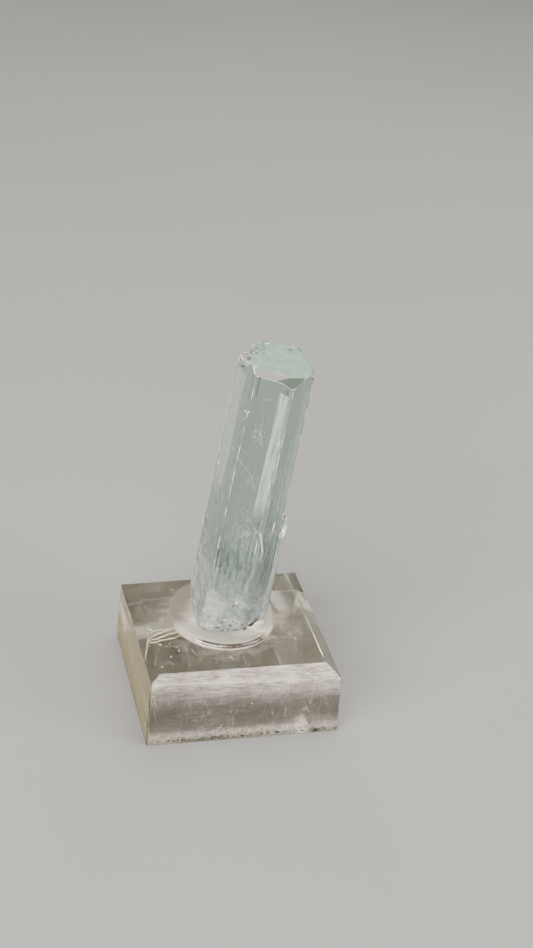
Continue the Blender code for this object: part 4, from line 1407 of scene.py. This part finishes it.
def make_etched():
    material, tree, shader = new_material("etched_skin", {"Roughness": 0.55, "IOR": 1.4})
    spot = place_in_mm(tree, FOOT_CENTRE, CRYSTAL_TURN.to_euler())
    axes = add(tree, "ShaderNodeSeparateXYZ", {"Vector": spot}).outputs
    green = group_node(tree, BLEND, {"Vector": spot, "Scale": 0.55, "First Colour": (0.27, 0.35, 0.29, 1.0),
                                     "Second Colour": (0.195, 0.285, 0.235, 1.0)})
    side = mapped(tree, axes[2], 46.7, 46.3)
    pale = add(tree, "ShaderNodeMix", {0: side, 6: green["Colour"], 7: (0.36, 0.395, 0.37, 1)}, data_type="RGBA")
    # From here the end takes a colour for each facet, after how light falls on it: the front bevel greyer and darker,
    # the facet at the front right painted nearly black as shade, the left of the end paler, and the up-facing ledge of
    # the side growth painted bright as lit. These are painted light and shade.
    above = mapped(tree, axes[2], 46.5, 46.7)
    front = maths(tree, "MULTIPLY", mapped(tree, axes[1], -4.10, -4.30), above)
    front_bevel_shade = add(tree, "ShaderNodeMix", {0: front, 6: pale.outputs[2], 7: (0.205, 0.20, 0.19, 1)}, data_type="RGBA")
    right = maths(tree, "MULTIPLY_ADD", axes[1], -0.866)
    tree.links.new(maths(tree, "MULTIPLY", axes[0], 0.5), right.node.inputs[2])
    shaded_facet = maths(tree, "MULTIPLY", mapped(tree, right, 4.88, 5.02), above)
    lit_and_shaded_facets = add(tree, "ShaderNodeMix", {0: shaded_facet, 6: front_bevel_shade.outputs[2], 7: (0.07, 0.095, 0.075, 1)}, data_type="RGBA")
    left = maths(tree, "MULTIPLY", mapped(tree, axes[0], -4.2, -4.7), above)
    lit_and_shaded_facets = add(tree, "ShaderNodeMix", {0: left, 6: lit_and_shaded_facets.outputs[2], 7: (0.36, 0.37, 0.33, 1)}, data_type="RGBA")
    lit_ledge = maths(tree, "MULTIPLY", mapped(tree, axes[0], 5.7, 5.9), mapped(tree, axes[2], 18.2, 18.8))
    lit_ledge = maths(tree, "MULTIPLY", lit_ledge, mapped(tree, axes[2], 23.0, 22.0))
    lit_and_shaded_facets = add(tree, "ShaderNodeMix", {0: lit_ledge, 6: lit_and_shaded_facets.outputs[2], 7: (0.66, 0.68, 0.66, 1)}, data_type="RGBA")
    grain = add(tree, "ShaderNodeTexNoise", {"Vector": spot, "Scale": 3.0, "Detail": 4.0})
    drawn = add(tree, "ShaderNodeMapping", {"Vector": spot, "Scale": (1.0, 1.0, 0.05)}).outputs[0]
    lines = add(tree, "ShaderNodeTexNoise", {"Vector": drawn, "Scale": 2.6, "Detail": 5.0}).outputs["Fac"]
    weave = mapped(tree, lines, 0.38, 0.60, 0.30, 1.15)
    weave = add(tree, "ShaderNodeMix", {0: side, 2: 1.0, 3: weave}).outputs[0]
    cover = maths(tree, "MULTIPLY", mark(tree, "cover"), weave)
    tree.links.new(lit_and_shaded_facets.outputs[2], shader.inputs["Base Color"])
    tree.links.new(cover, shader.inputs["Alpha"])
    bump(tree, shader, grain.outputs["Fac"], 0.02)
    return material


def make_chalk():
    material, tree, shader = new_material("chalk", {"Roughness": 0.45, "IOR": 1.45})
    spot = place_in_mm(tree, FOOT_CENTRE, CRYSTAL_TURN.to_euler())
    drawn = add(tree, "ShaderNodeMapping", {"Vector": spot, "Scale": (1.0, 1.0, 0.055)}).outputs[0]
    streaks = add(tree, "ShaderNodeTexNoise", {"Vector": drawn, "Scale": 2.8, "Detail": 6.0, "Roughness": 0.62})
    grains = add(tree, "ShaderNodeTexNoise", {"Vector": spot, "Scale": 3.2, "Detail": 5.0, "Roughness": 0.7})
    tint = group_node(tree, BLEND, {"Vector": spot, "Scale": 1.3, "First Colour": (0.40, 0.435, 0.42, 1.0),
                                    "Second Colour": (0.25, 0.29, 0.275, 1.0)})
    cover = mark(tree, "cover")
    low = mapped(tree, cover, 0.62, 0.92)
    noise = add(tree, "ShaderNodeMix", {0: low, 2: streaks.outputs["Fac"], 3: grains.outputs["Fac"]}).outputs[0]
    shown = maths(tree, "MULTIPLY_ADD", cover, 1.02)
    tree.links.new(noise, shown.node.inputs[2])
    shown = mapped(tree, shown, 0.72, 1.62, 0.0, 0.90)
    thin = group_node(tree, BLEND, {"Vector": spot, "Scale": 0.42})
    shown = maths(tree, "MULTIPLY", shown, mapped(tree, thin["Mask"], 0.35, 0.75, 1.0, 0.55))
    tree.links.new(tint["Colour"], shader.inputs["Base Color"])
    tree.links.new(maths(tree, "MULTIPLY", shown, mapped(tree, cover, 0.0, 0.15)), shader.inputs["Alpha"])
    bump(tree, shader, grains.outputs["Fac"], 0.02)
    return material


def make_haze():
    """A thin pale film that comes and goes: sanded plastic with painted sheen on the front, yellowish at the left,
    darker in patches along the bottom, and with painted sheen round the glue on the top.
    """
    material, tree, shader = new_material("haze_and_sheen", {"Roughness": 0.40, "IOR": 1.45})
    spot = place_in_mm(tree)
    axes = add(tree, "ShaderNodeSeparateXYZ", {"Vector": spot}).outputs
    drawn = add(tree, "ShaderNodeMapping", {"Vector": spot, "Scale": (0.16, 1.0, 1.0)}).outputs[0]
    streaks = add(tree, "ShaderNodeTexNoise", {"Vector": drawn, "Scale": 3.0, "Detail": 6.0, "Roughness": 0.6})
    patches = group_node(tree, BLEND, {"Vector": spot, "Scale": 0.22, "First Colour": (0.66, 0.60, 0.56, 1.0),
                                       "Second Colour": (0.50, 0.44, 0.40, 1.0)})
    scratches = group_node(tree, SCRATCHES, {"Vector": spot, "Scale": 0.9, "Width": 0.006})
    left = mapped(tree, axes[0], -15.3, -15.6)
    tint = {0: left, 6: patches["Colour"], 7: (0.36, 0.31, 0.19, 1)}
    tint = add(tree, "ShaderNodeMix", tint, data_type="RGBA").outputs[2]
    blotches = add(tree, "ShaderNodeTexNoise", {"Vector": spot, "Scale": 1.4, "Detail": 6.0, "Roughness": 0.7}).outputs["Fac"]
    # Near-black in patches, darker towards the bottom of the front wall.
    low = mapped(tree, axes[2], 2.4, 0.6)
    dark_low_patches = maths(tree, "MULTIPLY", maths(tree, "MULTIPLY", low, mapped(tree, blotches, 0.46, 0.55)), maths(tree, "SUBTRACT", 1.0, left))
    tint = add(tree, "ShaderNodeMix", {0: dark_low_patches, 6: tint, 7: (0.055, 0.06, 0.04, 1)}, data_type="RGBA").outputs[2]
    even = mapped(tree, streaks.outputs["Fac"], 0.36, 0.62, 0.35, 1.15)
    shown = maths(tree, "MULTIPLY", mark(tree, "cover"), add(tree, "ShaderNodeMix", {0: left, 2: even, 3: 1.0}).outputs[0])
    shown = maths(tree, "MULTIPLY", shown, mapped(tree, patches["Mask"], 0.0, 1.0, 1.0, 0.7))
    flat_top = mapped(tree, axes[2], BLOCK_TOP - 0.02, BLOCK_TOP + 0.002)
    # On the top the film is pale round the glue: partly a smudge, partly painted sheen.
    rubbed = add(tree, "ShaderNodeTexNoise", {"Vector": spot, "Scale": 0.30, "Detail": 5.0, "Roughness": 0.6}).outputs["Fac"]
    smudge_and_sheen = maths(tree, "MULTIPLY", mapped(tree, rubbed, 0.44, 0.72), mapped(tree, blotches, 0.36, 0.66, 0.08, 0.50))
    smudge_and_sheen = maths(tree, "MULTIPLY", smudge_and_sheen, mark(tree, "cover"))
    shown = add(tree, "ShaderNodeMix", {0: flat_top, 2: shown, 3: smudge_and_sheen}).outputs[0]
    shown = maths(tree, "ADD", shown, maths(tree, "MULTIPLY", scratches["Mask"], 0.16))
    shown = maths(tree, "ADD", shown, maths(tree, "MULTIPLY", dark_low_patches, 0.72))
    tree.links.new(tint, shader.inputs["Base Color"])
    tree.links.new(shown, shader.inputs["Alpha"])
    return material


aquamarine = make_aquamarine()
inclusion_white = make_inclusion("inclusion_white", (0.88, 0.92, 0.90, 1), (0.74, 0.82, 0.81, 1), 0.6)
# Near-black: painted shade in the foot's hollows, the gaps at the glue and the pit in the top.
shade_in_hollows = make_inclusion("shade_in_hollows", (0.012, 0.012, 0.010, 1), (0.085, 0.07, 0.035, 1), 0.4)
glue_string = make_inclusion("glue_string", (0.66, 0.61, 0.47, 1), (0.50, 0.45, 0.31, 1), 0.3)
pale_dust = make_inclusion("pale_dust", (0.78, 0.75, 0.66, 1), (0.30, 0.30, 0.22, 1), 0.8)
etched_skin, chalk, haze_and_sheen = make_etched(), make_chalk(), make_haze()

# %% [markdown]
# ## Glue and acrylic
#
# The glue has set cream-coloured and only half clear. At the left it stayed glassy, so the shader's colour and
# roughness change there with the heading. The acrylic is clear but has yellowed with age, which shows where the eye
# looks through its whole width. Its faces carry fine scratches from sanding and a haze that is stronger low down.

# %% Glue and acrylic


def make_glue():
    material, tree, shader = new_material(
        "clear_glue", {"IOR": 1.47, "Transmission Weight": 0.66, "Coat Weight": 0.6, "Coat Roughness": 0.05}, ((0.97, 0.91, 0.74), 60.0)
    )
    spot = place_in_mm(tree, (COLLAR_CENTRE[0], COLLAR_CENTRE[1], BLOCK_TOP))
    axes = add(tree, "ShaderNodeSeparateXYZ", {"Vector": spot}).outputs
    leaning = maths(tree, "SUBTRACT", maths(tree, "MULTIPLY", axes[1], 0.75), axes[0])
    drift = add(tree, "ShaderNodeTexNoise", {"Vector": spot, "Scale": 0.35, "Detail": 3.0}).outputs["Fac"]
    leaning = maths(tree, "ADD", leaning, maths(tree, "MULTIPLY", drift, 5.0))
    glassy = mapped(tree, leaning, 7.2, 10.5)
    # The band low on the front of the rim is tinted near-black here: painted shade, not a colour of the glue.
    shaded_skirt = maths(tree, "MULTIPLY", mapped(tree, axes[2], 0.975, 0.93), mapped(tree, axes[2], 0.22, 0.34))
    shaded_skirt = maths(tree, "MULTIPLY", shaded_skirt, mapped(tree, axes[1], -5.5, -7.5))
    glassy = maths(tree, "MAXIMUM", glassy, shaded_skirt)
    cream = group_node(tree, BLEND, {"Vector": spot, "Scale": 0.3, "First Colour": (0.97, 0.93, 0.87, 1),
                                     "Second Colour": (0.93, 0.88, 0.76, 1)})
    clear_tint_and_shade = add(tree, "ShaderNodeMix", {0: shaded_skirt, 6: (0.54, 0.51, 0.44, 1), 7: (0.06, 0.05, 0.05, 1)}, data_type="RGBA")
    tint = {0: glassy, 6: cream["Colour"], 7: clear_tint_and_shade.outputs[2]}
    tint = add(tree, "ShaderNodeMix", tint, data_type="RGBA")
    flow = add(tree, "ShaderNodeTexNoise", {"Vector": spot, "Scale": 0.30, "Detail": 1.5}).outputs["Fac"]
    tree.links.new(tint.outputs[2], shader.inputs["Base Color"])
    tree.links.new(mapped(tree, glassy, 0.0, 1.0, 0.20, 0.04), shader.inputs["Roughness"])
    bump(tree, shader, flow, 0.50)
    return material


def make_acrylic():
    material, tree, shader = new_material(
        "clear_acrylic", {"IOR": 1.49, "Transmission Weight": 1.0}, ((0.94, 0.90, 0.74), 16.0)
    )
    spot = place_in_mm(tree)
    height = add(tree, "ShaderNodeSeparateXYZ", {"Vector": spot}).outputs[2]
    haze = group_node(tree, BLEND, {"Vector": spot, "Scale": 0.22, "First Colour": (1.0, 0.99, 0.96, 1),
                                    "Second Colour": (0.93, 0.91, 0.85, 1)})
    scratches = group_node(tree, SCRATCHES, {"Vector": spot, "Scale": 0.35, "Width": 0.004})
    wear = group_node(tree, SPECKS, {"Vector": spot, "Scale": 1.9, "Size": 0.09, "Share": 0.10})
    low = mapped(tree, height, 2.5, 0.2, 0.0, 0.10)
    rough = maths(tree, "ADD", maths(tree, "MULTIPLY", haze["Mask"], 0.03), low)
    rough = maths(tree, "ADD", rough, maths(tree, "MULTIPLY", scratches["Mask"], 0.10))
    rough = maths(tree, "ADD", rough, maths(tree, "MULTIPLY", wear["Mask"], 0.20))
    wave = add(tree, "ShaderNodeTexNoise", {"Vector": spot, "Scale": 0.16, "Detail": 2.0}).outputs["Fac"]
    relief = maths(tree, "SUBTRACT", maths(tree, "MULTIPLY", wave, 0.045), maths(tree, "MULTIPLY", scratches["Mask"], 0.002))
    tree.links.new(haze["Colour"], shader.inputs["Base Color"])
    tree.links.new(rough, shader.inputs["Roughness"])
    bump(tree, shader, relief, 1.0)
    return material


clear_glue, clear_acrylic = make_glue(), make_acrylic()
print("materials:", len(bpy.data.materials))

# %% [markdown]
# ## Putting the pieces in
#
# Each mesh is filled, given its material, and put on the object's only body, and the solid that it replaces is
# hidden.

# %% The pieces


def settle(piece, finish, *solids):
    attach(piece, "root")
    if solids:
        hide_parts(*solids)
    return piece


def in_world(shapes):
    """The same shapes stood on the block in the world, with nothing above the tip of the crystal."""
    points, quads, triangles = shapes
    return np.minimum(to_world(points), (16.0, 16.0, 62.688)), quads, triangles


crystal = settle(new_skin("crystal", to_world(crystal_local), aquamarine), "aquamarine", "aquamarine_crystal")
store(crystal, "frost", np.append(crystal_frost.reshape(-1), [0.6, 1.0]))
settle(new_piece("growth_tubes", *in_world(tube_shapes), inclusion_white), "aquamarine")
settle(new_piece("healed_cracks", *in_world(crack_shapes), inclusion_white), "aquamarine")
foot_piece = settle(new_piece("chalky_foot", *in_world(foot_shape), chalk), "aquamarine")
store(foot_piece, "cover", foot_cover)
etched_piece = settle(new_piece("etched_faces", *in_world(etched_shapes), etched_skin), "aquamarine")
store(etched_piece, "cover", etched_amount)
settle(new_piece("hollows", *in_world(hollow_shade_shapes), shade_in_hollows), "aquamarine")
settle(new_piece("worn_edges_and_highlights", *in_world(wear_and_glint_shapes), inclusion_white), "aquamarine")
settle(new_skin("block", block_world, clear_acrylic), "clear_acrylic", "acrylic_block")
haze_piece = settle(new_piece("wall_haze", *haze_shape, haze_and_sheen), "clear_acrylic")
store(haze_piece, "cover", haze_cover)
glue_skin = (skin_points(glue_world), *skin_faces(*glue_world.shape[:2]))
settle(new_piece("glue_puddle", *joined([glue_skin, bubble_shapes]), clear_glue), "clear_glue", "glue_collar")
settle(new_piece("glue_strings", *string_shapes, glue_string), "clear_glue")
settle(new_piece("block_dust", *dust_shapes, pale_dust), "clear_acrylic")

# %% [markdown]
# ## Floor and light
#
# Clear things show what is round them. A large soft lamp overhead lights the wide pale floor. A strong one at the
# front left and a weaker one at the front right bring out the films on the stone and the haze on the block. A dim
# grey surround keeps the edges of the stone dark enough to read.

# %% Floor, lamps and surround
FLOOR_RADIUS, FLOOR_DROP = 1.6, 0.0002
WARM_WHITE = (1.0, 0.965, 0.915)


def make_floor():
    turn = np.arange(96) / 96 * 2 * np.pi
    disc = np.stack([FLOOR_RADIUS * np.cos(turn), FLOOR_RADIUS * np.sin(turn), np.full(96, -FLOOR_DROP)], axis=-1)
    mesh = bpy.data.meshes.new("floor")
    mesh.from_pydata(disc.tolist(), [], [list(range(96))])
    floor = bpy.data.objects.new("floor", mesh)
    bpy.context.scene.collection.objects.link(floor)
    material, tree, shader = new_material("floor_paper", {"Roughness": 0.8})
    spot = add(tree, "ShaderNodeTexCoord", {}).outputs["Object"]
    tint = group_node(tree, BLEND, {"Vector": spot, "Scale": 6.0, "First Colour": (0.31, 0.31, 0.305, 1),
                                    "Second Colour": (0.295, 0.295, 0.292, 1)})
    tree.links.new(tint["Colour"], shader.inputs["Base Color"])
    mesh.materials.append(material)


def soft_lamp(name, place, size, watts, aim=(0.0, 0.0, 0.03)):
    lamp = bpy.data.lights.new(name, "AREA")
    lamp.color = WARM_WHITE
    lamp.shape = "RECTANGLE"
    lamp.size, lamp.size_y = size
    lamp.energy = watts
    holder = bpy.data.objects.new(name, lamp)
    holder.location = place
    holder.rotation_euler = (Vector(aim) - Vector(place)).to_track_quat("-Z", "Y").to_euler()
    bpy.context.scene.collection.objects.link(holder)


def make_surround(colour):
    world = bpy.data.worlds.new("surround")
    world.use_nodes = True
    world.node_tree.nodes["Background"].inputs["Color"].default_value = (*colour, 1.0)
    bpy.context.scene.world = world


make_floor()
soft_lamp("overhead", (0.15, 0.20, 0.62), (0.60, 0.70), 4.6, (0.15, 0.20, 0.0))
soft_lamp("front_left", (-0.52, -0.62, 0.34), (0.90, 0.55), 20.0)
soft_lamp("front_right", (0.70, -0.50, 0.30), (0.60, 0.50), 7.0)
make_surround((0.125, 0.122, 0.118))
bpy.context.scene.view_settings.look = "AgX - Medium High Contrast"

# %% [markdown]
# ## Camera
#
# The camera looks down at the crystal from the front left, and is tipped a little to one side. Its three axes are
# worked out from the azimuth, the elevation and the roll.

# %% Camera
CAMERA_PLACE = (-0.05672, -0.21423, 0.16237)
AZIMUTH, ELEVATION, ROLL = math.radians(-15.89), math.radians(28.76), math.radians(5.41)
LENS = 60.43


def make_camera():
    away = Vector((math.sin(AZIMUTH), -math.cos(AZIMUTH), 0.0)) * math.cos(ELEVATION)
    away.z = math.sin(ELEVATION)
    level = Vector((math.cos(AZIMUTH), math.sin(AZIMUTH), 0.0))
    upright = away.cross(level)
    right = level * math.cos(ROLL) + upright * math.sin(ROLL)
    up = upright * math.cos(ROLL) - level * math.sin(ROLL)
    data = bpy.data.cameras.new("camera")
    data.lens = LENS
    camera = bpy.data.objects.new("camera", data)
    camera.matrix_world = Matrix.Translation(CAMERA_PLACE) @ Matrix((right, up, away)).transposed().to_4x4()
    bpy.context.scene.collection.objects.link(camera)
    bpy.context.scene.camera = camera


make_camera()
